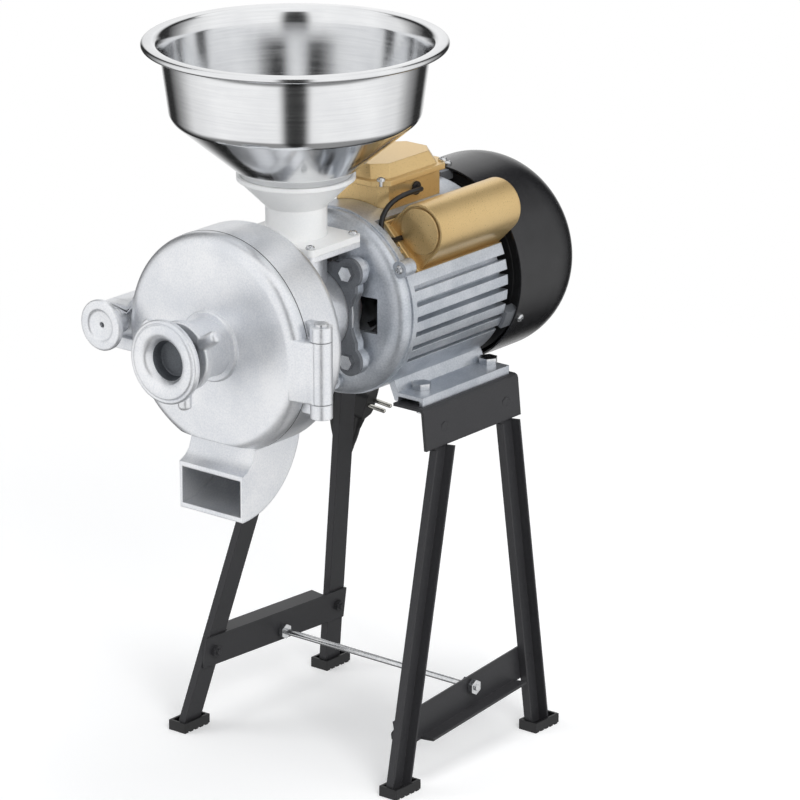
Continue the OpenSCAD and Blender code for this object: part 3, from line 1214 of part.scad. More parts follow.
// Tubes along a route: rings square to the route, each in the frame carried on from the one before
function unit(v) = v / norm(v);
function spline_at(p, i, t) =
    let (a = p[max(i - 1, 0)], b = p[i], c = p[i + 1], d = p[min(i + 2, len(p) - 1)])
    0.5 * (2 * b + (c - a) * t + (2 * a - 5 * b + 4 * c - d) * t * t + (3 * b - a - 3 * c + d) * t * t * t);
function smooth(p, n) = concat([for (i = [0:len(p) - 2]) for (k = [0:n - 1]) spline_at(p, i, k / n)],
    [p[len(p) - 1]]);
function dir_at(p, i) = unit(p[min(i + 1, len(p) - 1)] - p[max(i - 1, 0)]);
function carried(n, d) = unit(n - (n * d) * d);
function side_first(d) = carried(abs(d[2]) > 0.9 ? [1, 0, 0] : [0, 0, 1], d);
function sides(p, i = 0, prev = undef, out = []) = i == len(p) ? out :
    let (d = dir_at(p, i), s = i == 0 ? side_first(d) : carried(prev, d)) sides(p, i + 1, s, concat(out, [s]));
module tube(p, d, n) {
    s = sides(p);
    pts = [for (i = [0:len(p) - 1]) let (t = dir_at(p, i), u = s[i], v = cross(t, u))
        for (k = [0:n - 1]) p[i] + d / 2 * (cos(k * 360 / n) * u + sin(k * 360 / n) * v)];
    m = len(p) - 1;
    polyhedron(pts, concat([[for (k = [0:n - 1]) k]],
        [for (i = [0:m - 1]) for (k = [0:n - 1]) let (a = i * n + k, b = i * n + (k + 1) % n)
            each [[a, a + n, b + n], [a, b + n, b]]],
        [[for (k = [n - 1:-1:0]) m * n + k]]));
}

lead_d = 5;
lead_route = [[41, 58, 536], [43, 50, 537], [43, 36, 537], [42, 22, 535], [41, 10, 530], [41, 2, 522],
    [42, -2, 513], [45, -3, 506], [48, -1, 502], [50, 6, 500]];
lead_start = [gland_x + gland_out, gland_y, shaft_z + gland_z];
lead_side = -8.5;
lead_rise = cap_sheet + lead_d / 2 + hole_c;
lead_end = [lead_side * sin(cap_cover_a) + (cap_seat + lead_rise) * cos(cap_cover_a), cap_y0 + cap_sheet,
    shaft_z - lead_side * cos(cap_cover_a) + (cap_seat + lead_rise) * sin(cap_cover_a)];
module capacitor_lead() color(black) tube(concat([lead_start], smooth(concat([lead_start + [lead_d / 2, 0, 0]],
    lead_route, [lead_end - [0, lead_d, 0]]), 2), [lead_end]), lead_d, 8);

// The tied hank hangs beside the motor: loops wind inwards in one layer and out again in the next
hank_mid = [-132, 75, 340];
hank_w = 62;
hank_a = 58;
hank_step_w = 16.6;
hank_step_a = 8.5;
hank_layer = 8.6;
hank_pinch = 0.5;
hank_rings = 24;
hank_from = asin(sqrt(1 / (3 * hank_pinch)));
hank_to = 3 * 360 + 360 - hank_from;
hank_span = hank_to - hank_from;
function hank_in(f) = (min(f - hank_from, hank_to - f)) / 360;
function hank_climb(f) = max(0, min(1, (f - (hank_from + hank_to) / 2) / 180 + 0.5));
function hank_point(f) = hank_mid + [-hank_layer * hank_climb(f),
    -(hank_w - hank_step_w * hank_in(f)) * sin(f) * (1 - hank_pinch * sin(f) * sin(f)),
    (hank_a - hank_step_a * hank_in(f)) * cos(f)];
hank_n = round(hank_span / 360 * hank_rings);
hank_core = [for (k = [0:hank_n]) hank_point(hank_from + hank_span * k / hank_n)];
hank_start = hank_core[0] + [0, 0, cord_d];
hank_end = hank_core[hank_n] + [0, 0, cord_d];
hank_path = concat([hank_start], hank_core, [hank_end]);
hank_gap = min([for (i = [0:hank_n]) for (j = [0:hank_n])
    if (abs(i - j) > hank_rings / 3) norm(hank_core[i] - hank_core[j]) - cord_d]);
echo(hank_gap = hank_gap);
module cord_hank() color(black) tube(hank_path, cord_d, 6);
tie_w = 6;
tie_t = 1.6;
tie_y = hank_w * (1 - hank_pinch) + cord_d / 2 + loose;
tie_x0 = cord_d / 2 + loose;
tie_x1 = -hank_layer - cord_d / 2 - loose;
module hank_tie() color([0.75, 0.75, 0.75]) translate(hank_mid) difference() {
    translate([tie_x1 - tie_t, -tie_y - tie_t, -tie_w / 2]) cube([tie_x0 - tie_x1 + 2 * tie_t, 2 * (tie_y + tie_t), tie_w]);
    translate([tie_x1, -tie_y, -tie_w]) cube([tie_x0 - tie_x1, 2 * tie_y, 2 * tie_w]);
}

// Two-pin plug with its cord leaving downwards
plug_at = [-128, 190, 258];
plug_dir = unit([0.912, 0.328, -0.246]);
plug_line = carried([-0.34, 0.94, -0.04], plug_dir);
plug_up = cross(plug_dir, plug_line);
plug_w = 35;
plug_h = 30;
plug_t = 15;
plug_low = 16;
relief_len = 13;
relief_r = 5.5;
pin_d = 4.5;
pin_len = 19;
pin_half = 9.5;
plug_exit = plug_at - plug_t / 2 * plug_dir - (plug_low + relief_len) * plug_up;
module plug_frame() {
    multmatrix([[plug_line[0], plug_up[0], plug_dir[0], plug_at[0]],
        [plug_line[1], plug_up[1], plug_dir[1], plug_at[1]],
        [plug_line[2], plug_up[2], plug_dir[2], plug_at[2]], [0, 0, 0, 1]]) children();
}
module plug() color(black) plug_frame() {
    translate([0, plug_h / 2 - plug_low, -plug_t]) linear_extrude(plug_t) rounded_plate(plug_w / 2, plug_h / 2, plug_w / 5);
    translate([0, -plug_low + 1, -plug_t / 2]) rotate([90, 0, 0]) rotate_extrude() polygon([[0, 0], [relief_r + 1, 0],
        [relief_r, relief_len / 2], [cord_d / 2 + 0.4, relief_len + 1], [0, relief_len + 1]]);
}
module plug_pins() color([0.83, 0.83, 0.82]) plug_frame() for (x = [-pin_half, pin_half]) translate([x, 0, 0]) {
    cylinder(d = pin_d, h = pin_len - pin_d / 4);
    translate([0, 0, pin_len - pin_d / 4 - fit]) cylinder(d1 = pin_d, d2 = pin_d / 2, h = pin_d / 4);
}
cord_start = [-inlet_x - inlet_len, inlet_y, shaft_z + gland_z];
cord_route = [[-75, 59, 530], [-96, 56, 512], [-112, 51, 480], [-122, 46, 440], [-130, 42, 408]];
plug_route = [[-142, 112, 394], [-147, 128, 400], [-152, 146, 380], [-155, 158, 335], [-156, 164, 285],
    [-157, 167, 242], [-154, 171, 216], [-149, 177, 205]];
cord_path = concat([cord_start], smooth(concat([cord_start - [cord_d, 0, 0]], cord_route,
    [hank_start + [0, 0, cord_d]]), 2), [hank_start]);
plug_path = concat([hank_end], smooth(concat([hank_end + [0, 0, cord_d]], plug_route,
    [plug_exit - cord_d * plug_up]), 2), [plug_exit]);
module power_cord() color(black) tube(cord_path, cord_d, 8);
module plug_cord() color(black) tube(plug_path, cord_d, 8);
function path_len(p) = len(p) < 2 ? 0 : [for (i = 1, s = norm(p[1] - p[0]); i < len(p);
    i = i + 1, s = s + (i < len(p) ? norm(p[i] - p[i - 1]) : 0)) s][len(p) - 2];
echo(cord_len = path_len(cord_path) + path_len(hank_path) + path_len(plug_path));

cap_plate_right();
cap_plate_left();
leg_front_right();
leg_rear_right();
leg_front_left();
leg_rear_left();
crossbar_right();
crossbar_left();
tie_rod();
frame_bolts();
foot_caps();
foot_bolts();
motor_body();
front_bell();
rear_bell();
bell_screws();
front_bearing();
rear_bearing();
stator_core();
stator_windings();
rotor_core();
motor_shaft();
cooling_fan();
fan_cover();
terminal_box();
box_lid();
lid_screws();
glands();
capacitor_cover();
capacitor();
capacitor_screw();
capacitor_lead();
adapter_plate();
flange_bolts();
mill_housing();
mill_cover();
hinge_pin();
swing_bolt();
swing_pin();
clamp_washer();
clamp_knob();
lock_ring();
adjusting_knob();
adjusting_spindle();
thrust_pad();
stationary_burr();
rotating_burr();
burr_screws();
rotor_screws();
burr_carrier();
auger();
feed_neck();
neck_screws();
hopper();
power_cord();
cord_hank();
plug_cord();
plug_pins();
plug();
hank_tie();
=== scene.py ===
import json
import math

import bmesh
import bpy
from mathutils import Matrix, Vector


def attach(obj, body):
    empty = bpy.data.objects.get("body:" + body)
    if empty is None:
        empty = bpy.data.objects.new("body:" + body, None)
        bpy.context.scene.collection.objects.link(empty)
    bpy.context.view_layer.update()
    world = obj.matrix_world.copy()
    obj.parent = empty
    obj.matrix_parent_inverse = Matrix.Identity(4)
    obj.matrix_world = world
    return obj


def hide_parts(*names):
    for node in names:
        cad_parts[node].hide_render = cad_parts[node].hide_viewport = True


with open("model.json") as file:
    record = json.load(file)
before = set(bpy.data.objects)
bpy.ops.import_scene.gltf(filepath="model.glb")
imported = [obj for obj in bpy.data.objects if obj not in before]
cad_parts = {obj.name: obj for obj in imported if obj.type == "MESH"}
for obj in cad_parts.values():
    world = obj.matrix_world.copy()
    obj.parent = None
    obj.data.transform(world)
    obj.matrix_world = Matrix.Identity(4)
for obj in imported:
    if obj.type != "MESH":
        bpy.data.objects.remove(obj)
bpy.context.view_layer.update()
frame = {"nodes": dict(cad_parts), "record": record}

# The mill is written in millimetres and MM turns them to metres. Camera reach and studio are in metres.
MM = 0.001
SHAFT_Z, THROAT_Y = 437.5, -73.0

# Points nearer than this, in metres, become one: on drawn outlines, and on the meshes of the solids
OUTLINE_MERGE, SOLID_MERGE = 1e-6, 2e-6
# Points this near a cutting plane, in metres, count as lying on it
CUT_REACH = 1e-7


def place_object(name, data):
    made = bpy.data.objects.new(name, data)
    bpy.context.collection.objects.link(made)
    return made


# A finished bmesh as a mesh
def mesh_of(name, shape):
    mesh = bpy.data.meshes.new(name)
    shape.to_mesh(mesh)
    shape.free()
    return mesh


# Camera at the photograph's viewing angle: it looks from ahead and the right, a little from above
CAMERA_TURN, CAMERA_RISE = 39.0, 18.3
CAMERA_AIM, CAMERA_ASIDE, CAMERA_DROP = (0, 23.5, 350), 34.0, 19.0
CAMERA_AWAY, CAMERA_SENSOR, CAMERA_LENS, CAMERA_REACH = 4641.2, 36.0, 222.24, 60.0


def place_camera():
    azimuth, rise = math.radians(CAMERA_TURN), math.radians(CAMERA_RISE)
    back = Vector((math.sin(azimuth) * math.cos(rise), -math.cos(azimuth) * math.cos(rise),
                   math.sin(rise)))
    right = Vector((math.cos(azimuth), math.sin(azimuth), 0))
    up = back.cross(right)
    aim = Vector(CAMERA_AIM) * MM + right * CAMERA_ASIDE * MM - up * CAMERA_DROP * MM
    place = aim + back * CAMERA_AWAY * MM
    lens = bpy.data.cameras.new("studio_camera")
    lens.sensor_width, lens.lens, lens.clip_end = CAMERA_SENSOR, CAMERA_LENS, CAMERA_REACH
    camera = place_object("studio_camera", lens)
    camera.matrix_world = Matrix((
        (right.x, up.x, back.x, place.x), (right.y, up.y, back.y, place.y),
        (right.z, up.z, back.z, place.z), (0, 0, 0, 1)))
    bpy.context.scene.camera = camera


# Colours are written as sRGB hex and turned linear here, by the curve of the sRGB standard
def linear(hex_colour):
    parts = [int(hex_colour[i:i + 2], 16) / 255 for i in (0, 2, 4)]
    return tuple(c / 12.92 if c <= 0.04045 else ((c + 0.055) / 1.055) ** 2.4
                 for c in parts) + (1.0,)


# Adds a node with its settings and links
def add(tree, kind, inputs=None, **settings):
    made = tree.nodes.new("ShaderNode" + kind)
    for key, value in settings.items():
        setattr(made, key, value)
    for key, value in (inputs or {}).items():
        if isinstance(value, bpy.types.NodeSocket):
            tree.links.new(value, made.inputs[key])
        else:
            made.inputs[key].default_value = value
    return made


def empty_tree(owner):
    owner.use_nodes = True
    owner.node_tree.nodes.clear()
    return owner.node_tree


# Detail of the clouds and grains, their sum from shade to light tone, grain from glossy to dull, and relief
CLOUD_DETAIL, GRAIN_DETAIL = 2.0, 3.0
TONE_FROM, TONE_TO = 0.75, 1.25
GLOSS_FROM, GLOSS_TO = 0.3, 0.7
RELIEF, EDGE_SAMPLES = 0.5, 4


# A finish: two tones in slow clouds, a fine grain in gloss and relief, and edges rounded in the shading.
# Cloud, grain, depth and edge are in millimetres. Grain finer than about 1 mm is drawn that coarse to show.
def finish(name, light, shade, cloud, grain, depth, rough, edge, metallic=0.0, stretch=(1, 1, 1),
           **shell):
    material = bpy.data.materials.new(name)
    tree = empty_tree(material)
    spot = add(tree, "TexCoord").outputs["Object"]
    drawn = add(tree, "Mapping", {"Vector": spot, "Scale": stretch}).outputs[0]
    clouds = add(tree, "TexNoise", {"Vector": spot, "Scale": 1 / (cloud * MM),
                                    "Detail": CLOUD_DETAIL}).outputs["Fac"]
    grains = add(tree, "TexNoise", {"Vector": drawn, "Scale": 1 / (grain * MM),
                                    "Detail": GRAIN_DETAIL}).outputs["Fac"]
    mixed = add(tree, "Math", {0: clouds, 1: grains}, operation="ADD").outputs[0]
    share = add(tree, "MapRange", {"Value": mixed, "From Min": TONE_FROM,
                                   "From Max": TONE_TO}).outputs["Result"]
    tone = add(tree, "Mix", {0: share, 6: linear(shade), 7: linear(light)},
               data_type="RGBA").outputs[2]
    gloss = add(tree, "MapRange", {"Value": grains, "From Min": GLOSS_FROM, "From Max": GLOSS_TO,
                                   "To Min": rough[0], "To Max": rough[1]}).outputs["Result"]
    rounded = add(tree, "Bevel", {"Radius": edge * MM}, samples=EDGE_SAMPLES).outputs[0]
    bump = add(tree, "Bump", {"Height": grains, "Distance": depth * MM, "Strength": RELIEF,
                              "Normal": rounded}).outputs[0]
    surface = add(tree, "BsdfPrincipled", {"Base Color": tone, "Metallic": metallic,
                                           "Roughness": gloss, "Normal": bump, **shell})
    add(tree, "OutputMaterial", {"Surface": surface.outputs[0]})
    return material


# Sand-cast aluminium under silver paint: satin, with a sandy grain at twice its size so that it shows
cast_silver = finish("cast_aluminium_silver_paint", "f6f7f9", "e0e3e8", 45, 1.6, 0.15, (0.29, 0.4),
                     1.3, 0.8)
# Die-cast aluminium of the motor, greyer, over a coarser skin: partly its own darker tone, partly painted
# shade for the bell under the hopper
cast_motor_tone_and_shade = finish("cast_aluminium_grey_and_shade", "d6dae0", "b9bfc7", 30, 1.8, 0.2, (0.3, 0.42),
                    1.1, 0.8)
# Painted shade of the same casting: deep grey and dull, for the hollow of the knob's funnel and the hub
# behind its rim
cast_painted_shade = finish("cast_aluminium_painted_shade", "6e7277", "585c61", 22, 1.2, 0.12, (0.4, 0.52),
                   0.8, 0.6)
# Dark grey, with a dull coarse skin
cast_dark = finish("cast_iron_dark_grey", "777a7f", "63666b", 18, 1.1, 0.12, (0.42, 0.55), 0.8, 0.3)
# Powder coat on bent sheet: satin black with a light orange peel
powder_black = finish("sheet_steel_powder_coated", "3c3c3e", "373739", 70, 1.6, 0.015, (0.36, 0.42),
                      1.0, **{"Specular IOR Level": 0.22})
# Zinc plate on turned and pressed steel: bright with dull patches
zinc_plate = finish("steel_zinc_plated", "e6e7e8", "cfd1d4", 5, 0.9, 0.012, (0.18, 0.27), 0.35, 1.0)
# Bronze gold metallic paint: fine flakes in a smooth coat
bronze_gold = finish("metallic_paint_bronze_gold", "dfc18a", "d8b880", 70, 0.9, 0.006, (0.27, 0.32),
                     1.6, 0.66)
# Black enamel on drawn sheet: smooth with a soft gloss
black_enamel = finish("drawn_steel_black_enamel", "242426", "19191b", 20, 2.2, 0.008, (0.2, 0.27), 0.9)
# Moulded black nylon: dull with a fine spark-eroded skin
black_nylon = finish("nylon_black_moulded", "1c1c1e", "121213", 12, 0.9, 0.05, (0.42, 0.55), 0.8)
# Extruded cable sheath: black vinyl with a slight sheen
black_vinyl = finish("vinyl_black_extruded", "1d1d1f", "121214", 15, 0.8, 0.03, (0.34, 0.44), 0.6)
# Moulded white ABS: satin and even
white_abs = finish("abs_white_moulded", "fafaf9", "f3f4f4", 30, 1.4, 0.03, (0.3, 0.38), 1.0)
# Spun and polished stainless sheet: mirror bright, with turning lines that run round the axis
stainless = finish("stainless_spun_polished", "eff0f1", "e4e5e7", 30, 3.0, 0.007, (0.11, 0.15),
                   0.4, 1.0, (0.05, 0.05, 1.6))
# Ground grey iron of the grinding parts: dark with bright scratches
ground_iron = finish("grey_iron_ground", "8f9194", "6b6d70", 6, 1.2, 0.05, (0.34, 0.5), 0.4, 1.0)
# Turned bronze of the thrust pad: warm and satin
turned_bronze = finish("bronze_turned", "ba8f52", "976f3c", 6, 1.0, 0.03, (0.24, 0.36), 0.3, 1.0)
# Stacked core sheets: fine lines across the shaft
core_sheets = finish("steel_core_stacked", "8a8d91", "5d6064", 10, 1.0, 0.08, (0.38, 0.5), 0.4, 1.0,
                     (0.1, 1.6, 0.1))
# Enamelled winding wire: copper red, in fine strands along the shaft
copper_wire = finish("copper_wire_enamelled", "b86a3c", "8a4422", 5, 1.2, 0.15, (0.28, 0.4),
                     0.4, 1.0, (1, 0.2, 1))
# Nickel plate on the plug pins: bright and smooth
nickel_plate = finish("brass_nickel_plated", "dbd9d2", "c0beb6", 5, 2.0, 0.01, (0.12, 0.2), 0.3, 1.0)
# Paper-covered tie wire: light grey and dull
tie_paper = finish("tie_wire_covered", "bdbdbb", "a4a4a2", 6, 0.8, 0.05, (0.5, 0.6), 0.3)

FINISHES = {
    "stand_paint": powder_black, "zinc_steel": zinc_plate, "cast_silver": cast_silver,
    "cast_dark": cast_dark, "bronze_paint": bronze_gold, "fan_black": black_enamel,
    "black_plastic": black_nylon, "black_rubber": black_vinyl, "white_plastic": white_abs,
    "stainless": stainless, "cast_iron": ground_iron, "bronze": turned_bronze,
    "lamination": core_sheets, "copper_wire": copper_wire, "pin_plate": nickel_plate,
    "tie_wire": tie_paper,
}


# Every solid of the frame gets its finish
def dress_solids():
    for part in frame["record"]["subparts"]:
        solid = frame["nodes"][part["node"]]
        solid.data.materials.clear()
        solid.data.materials.append(FINISHES[part["material_slot"]])
    # The motor body and front bell take the greyer motor finish, which is partly painted shade
    for node in ("motor_body", "front_bell"):
        frame["nodes"][node].data.materials[0] = cast_motor_tone_and_shade


# Smooth line through points, with n steps from each to the next
def spline_at(p, i, t):
    a, b, c, d = p[max(i - 1, 0)], p[i], p[i + 1], p[min(i + 2, len(p) - 1)]
    return 0.5 * (2 * b + (c - a) * t + (2 * a - 5 * b + 4 * c - d) * t * t
                  + (3 * b - a - 3 * c + d) * t ** 3)


def smooth_route(p, n):
    p = [Vector(q) for q in p]
    return [spline_at(p, i, k / n) for i in range(len(p) - 1) for k in range(n)] + [p[-1]]


# Tied hank of the cord: upright turns beside the motor, waisted at the tie, each a little inside the last
HANK_MIDDLE = Vector((-132, 75, 340))
HANK_TURNS, HANK_STEPS, HANK_WAIST = 3, 24, 0.5
HANK_HALF_WIDTH, HANK_HALF_HEIGHT = 62, 58
HANK_NARROWING, HANK_SHORTENING, HANK_CROSSING = 16.6, 8.5, 8.6


def hank_route():
    first = math.degrees(math.asin(math.sqrt(1 / (3 * HANK_WAIST))))
    last = HANK_TURNS * 360 + 360 - first
    count = round((last - first) / 360 * HANK_STEPS)
    core = []
    for k in range(count + 1):
        angle = first + (last - first) * k / count
        inward = min(angle - first, last - angle) / 360
        crossed = max(0, min(1, (angle - (first + last) / 2) / 180 + 0.5))
        s, c = math.sin(math.radians(angle)), math.cos(math.radians(angle))
        core.append(HANK_MIDDLE + Vector((
            -HANK_CROSSING * crossed,
            -(HANK_HALF_WIDTH - HANK_NARROWING * inward) * s * (1 - HANK_WAIST * s * s),
            (HANK_HALF_HEIGHT - HANK_SHORTENING * inward) * c)))
    return core


# The part of n that is square to d
def carried(n, d):
    return (n - n.dot(d) * d).normalized()


# Power cord: its thickness, the gland that it leaves, and the plug's middle, directions and cord end
CORD_D = 7.5
INLET = Vector((-53.167, 60, 534.5))
PLUG_AT = Vector((-128, 190, 258))
PLUG_DIR = Vector((0.912, 0.328, -0.246)).normalized()
PLUG_LINE = carried(Vector((-0.34, 0.94, -0.04)), PLUG_DIR)
PLUG_UP = PLUG_DIR.cross(PLUG_LINE)
PLUG_EXIT_BACK, PLUG_EXIT_DOWN = 7.5, 29
ROUTE_STEPS, CORD_ROUNDNESS, CORD_SMOOTHNESS = 2, 4, 3


# It leaves the terminal box, winds through the tied hank and ends in the plug
def make_cord():
    core = hank_route()
    rise = Vector((0, 0, CORD_D))
    plug_exit = PLUG_AT - PLUG_EXIT_BACK * PLUG_DIR - PLUG_EXIT_DOWN * PLUG_UP
    first = [INLET] + smooth_route([
        INLET - Vector((CORD_D, 0, 0)), (-75, 59, 530), (-96, 56, 512), (-112, 51, 480),
        (-122, 46, 440), (-130, 42, 408), core[0] + 2 * rise], ROUTE_STEPS)
    last = smooth_route([
        core[-1] + 2 * rise, (-142, 112, 394), (-147, 128, 400), (-152, 146, 380), (-155, 158, 335),
        (-156, 164, 285), (-157, 167, 242), (-154, 171, 216), (-149, 177, 205),
        plug_exit - CORD_D * PLUG_UP], ROUTE_STEPS) + [plug_exit]
    points = first + [core[0] + rise] + core + [core[-1] + rise] + last
    curve = bpy.data.curves.new("mains_cord", "CURVE")
    curve.dimensions, curve.use_fill_caps, curve.bevel_depth = "3D", True, CORD_D / 2 * MM
    curve.bevel_resolution, curve.resolution_u = CORD_ROUNDNESS, CORD_SMOOTHNESS
    line = curve.splines.new("BEZIER")
    line.bezier_points.add(len(points) - 1)
    for knot, point in zip(line.bezier_points, points):
        knot.co = point * MM
        knot.handle_left_type = knot.handle_right_type = "AUTO"
    curve.materials.append(black_vinyl)
    cord = place_object("mains_cord", curve)
    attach(cord, "frame")
    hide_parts("power_cord", "cord_hank", "plug_cord")


# Room: white where the camera, gloss and glass look past the object, and a soft even light on the object
ROOM_LIGHT = 0.42


def make_room():
    world = bpy.data.worlds.new("studio_world")
    bpy.context.scene.world = world
    tree = empty_tree(world)
    path = add(tree, "LightPath")
    seen = add(tree, "Math", {0: path.outputs["Is Camera Ray"],
                              1: path.outputs["Is Transmission Ray"]}, operation="MAXIMUM").outputs[0]
    seen = add(tree, "Math", {0: seen, 1: path.outputs["Is Glossy Ray"]},
               operation="MAXIMUM").outputs[0]
    direct = add(tree, "Background", {"Color": linear("ffffff"), "Strength": 1.0}).outputs[0]
    soft = add(tree, "Background", {"Color": linear("f2f4f7"), "Strength": ROOM_LIGHT}).outputs[0]
    shown = add(tree, "MixShader", {0: seen, 1: soft, 2: direct}).outputs[0]
    add(tree, "OutputWorld", {"Surface": shown})


# Floor: pale matt paper that keeps the shadow and fades to white between two distances from the middle
FLOOR_HALF, FLOOR_LIFT = 12, 0.3
FLOOR_FADE_FROM, FLOOR_FADE_TO = 0.45, 1.5


def make_floor():
    paper = bpy.data.materials.new("studio_floor_paper")
    tree = empty_tree(paper)
    middle = add(tree, "TexCoord").outputs["Object"]
    away = add(tree, "VectorMath", {0: middle}, operation="LENGTH").outputs["Value"]
    far = add(tree, "MapRange", {"Value": away, "From Min": FLOOR_FADE_FROM,
                                 "From Max": FLOOR_FADE_TO},
              interpolation_type="SMOOTHSTEP").outputs["Result"]
    path = add(tree, "LightPath").outputs["Is Camera Ray"]
    matt = add(tree, "BsdfDiffuse", {"Color": linear("e6e6e6")}).outputs[0]
    glow = add(tree, "Math", {0: path, 1: FLOOR_LIFT}, operation="MULTIPLY").outputs[0]
    lift = add(tree, "Emission", {"Color": linear("ffffff"), "Strength": glow}).outputs[0]
    near = add(tree, "AddShader", {0: matt, 1: lift}).outputs[0]
    blank = add(tree, "Emission", {"Color": linear("ffffff"), "Strength": path}).outputs[0]
    share = add(tree, "Math", {0: far, 1: path}, operation="MULTIPLY").outputs[0]
    shown = add(tree, "MixShader", {0: share, 1: near, 2: blank}).outputs[0]
    add(tree, "OutputMaterial", {"Surface": shown})
    sheet = bmesh.new()
    bmesh.ops.create_grid(sheet, x_segments=1, y_segments=1, size=FLOOR_HALF)
    mesh = mesh_of("studio_floor", sheet)
    mesh.materials.append(paper)
    floor = place_object("studio_floor", mesh)
    floor.visible_glossy = False


# Ring of soft boxes and dark flags that only gloss shows: brightness by degrees from the camera's side
RING_LEVELS = ((0, 0.045), (8, 0.05), (15, 1), (75, 1), (104, 0.85), (119, 0.4), (138, 0.03),
               (154, 0.03), (166, 0.8), (180, 1))
RING_TURN, RING_SEGMENTS = 51, 96
RING_RADIUS, RING_HEIGHT, RING_RAISED = 3.0, 7.0, 0.5
# It dims towards its closed lower end
RING_DIM_FROM, RING_DIM_TO, RING_DIM, RING_END_BELOW = -2.6, -1.2, 0.3, -2


def make_ring():
    panels = bpy.data.materials.new("studio_ring_panels")
    tree = empty_tree(panels)
    spot = add(tree, "TexCoord").outputs["Object"]
    turned = add(tree, "Mapping", {"Vector": spot,
                                   "Rotation": (0, 0, math.radians(RING_TURN))}).outputs[0]
    round_share = add(tree, "TexGradient", {"Vector": turned}, gradient_type="RADIAL").outputs["Fac"]
    centred = add(tree, "Math", {0: round_share, 1: 0.5}, operation="SUBTRACT").outputs[0]
    mirrored = add(tree, "Math", {0: centred}, operation="ABSOLUTE").outputs[0]
    bands = add(tree, "ValToRGB", {"Fac": mirrored})
    while len(bands.color_ramp.elements) < len(RING_LEVELS):
        bands.color_ramp.elements.new(0.5)
    for element, (degrees, level) in zip(bands.color_ramp.elements, RING_LEVELS):
        element.position, element.color = degrees / 360, (level, level, level, 1)
    height = add(tree, "SeparateXYZ", {"Vector": spot}).outputs["Z"]
    dimmed = add(tree, "MapRange", {"Value": height, "From Min": RING_DIM_FROM,
                                    "From Max": RING_DIM_TO, "To Min": RING_DIM, "To Max": 1.0},
                 interpolation_type="SMOOTHSTEP").outputs["Result"]
    glow = add(tree, "Emission", {"Color": bands.outputs["Color"], "Strength": dimmed}).outputs[0]
    add(tree, "OutputMaterial", {"Surface": glow})
    hoop = bmesh.new()
    bmesh.ops.create_cone(hoop, cap_ends=False, segments=RING_SEGMENTS, radius1=RING_RADIUS,
                          radius2=RING_RADIUS, depth=RING_HEIGHT)
    bmesh.ops.translate(hoop, vec=(0, 0, RING_RAISED), verts=hoop.verts)
    low = [e for e in hoop.edges if all(v.co.z < RING_END_BELOW for v in e.verts)]
    bmesh.ops.holes_fill(hoop, edges=low, sides=0)
    mesh = mesh_of("studio_ring", hoop)
    mesh.materials.append(panels)
    ring = place_object("studio_ring", mesh)
    ring.visible_camera = ring.visible_diffuse = False
    ring.visible_shadow = ring.visible_transmission = False


# Lamps: name, place, width and height, and power in watts
LAMPS = (("key_softbox", (3.0, -1.6, 2.6), (1.6, 2.2), 72),
         ("fill_softbox", (-2.6, -1.8, 1.6), (1.6, 2.4), 30),
         ("top_softbox", (0.2, 0.6, 3.2), (2.4, 1.6), 46))
LAMP_AIM = Vector((0, 0, 0.4))


def make_lamps():
    for name, place, size, power in LAMPS:
        lamp = bpy.data.lights.new(name, "AREA")
        lamp.shape, lamp.size, lamp.size_y, lamp.energy = "RECTANGLE", size[0], size[1], power
        light = place_object(name, lamp)
        light.visible_glossy = False
        light.location = place
        light.rotation_euler = (LAMP_AIM - Vector(place)).to_track_quat("-Z", "Y").to_euler()


# Studio: white room, pale floor, a ring for the reflections, and a key, a fill and a top light
def make_studio():
    bpy.context.scene.view_settings.view_transform = "Standard"
    make_room()
    make_floor()
    make_ring()
    make_lamps()


# A finished bmesh becomes a piece that rides on a body and stands for its solids
def piece(name, shape, finish_used, body, nodes, sharp=40, second=None):
    for face in shape.faces:
        face.smooth = True
    for edge in shape.edges:
        edge.smooth = (len(edge.link_faces) != 2
                       or edge.calc_face_angle(0) < math.radians(sharp))
    mesh = mesh_of(name, shape)
    mesh.materials.append(finish_used)
    if second:
        mesh.materials.append(second)
    made = place_object(name, mesh)
    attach(made, body)
    if nodes:
        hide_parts(*nodes)


# Steps in a rounded corner of a turned shape, and in a rounded edge of a block
CORNER_STEPS, EDGE_STEPS = 5, 3


# Turned shape from an outline of radius, height and corner rounding, placed by a matrix
def turn(outline, place, steps=128):
    shape = bmesh.new()
    knots = [shape.verts.new((r * MM, 0, z * MM)) for r, z, _ in outline]
    for a, b in zip(knots, knots[1:] + knots[:1]):
        shape.edges.new((a, b))
    for size in sorted({p[2] for p in outline if p[2] > 0}):
        corners = [k for k, p in zip(knots, outline) if p[2] == size]
        bmesh.ops.bevel(shape, geom=corners, offset=size * MM, offset_type="OFFSET",
                        affect="VERTICES", segments=CORNER_STEPS, profile=0.5, material=-1)
    bmesh.ops.spin(shape, geom=shape.verts[:] + shape.edges[:], cent=(0, 0, 0), axis=(0, 0, 1),
                   angle=math.tau, steps=steps, use_merge=True)
    bmesh.ops.remove_doubles(shape, verts=shape.verts, dist=OUTLINE_MERGE)
    bmesh.ops.recalc_face_normals(shape, faces=shape.faces)
    bmesh.ops.transform(shape, matrix=place, verts=shape.verts)
    return shape


# Upright block from a plan outline, with its edges rounded
def upright(plan, low, high, rounding):
    shape = bmesh.new()
    base = shape.faces.new([shape.verts.new((x * MM, y * MM, low * MM)) for x, y in plan])
    raised = bmesh.ops.extrude_face_region(shape, geom=[base])["geom"]
    bmesh.ops.translate(shape, vec=(0, 0, (high - low) * MM),
                        verts=[g for g in raised if isinstance(g, bmesh.types.BMVert)])
    bmesh.ops.recalc_face_normals(shape, faces=shape.faces)
    bmesh.ops.bevel(shape, geom=shape.edges[:], offset=rounding * MM, offset_type="OFFSET",
                    affect="EDGES", segments=EDGE_STEPS, profile=0.5, material=-1)
    return shape


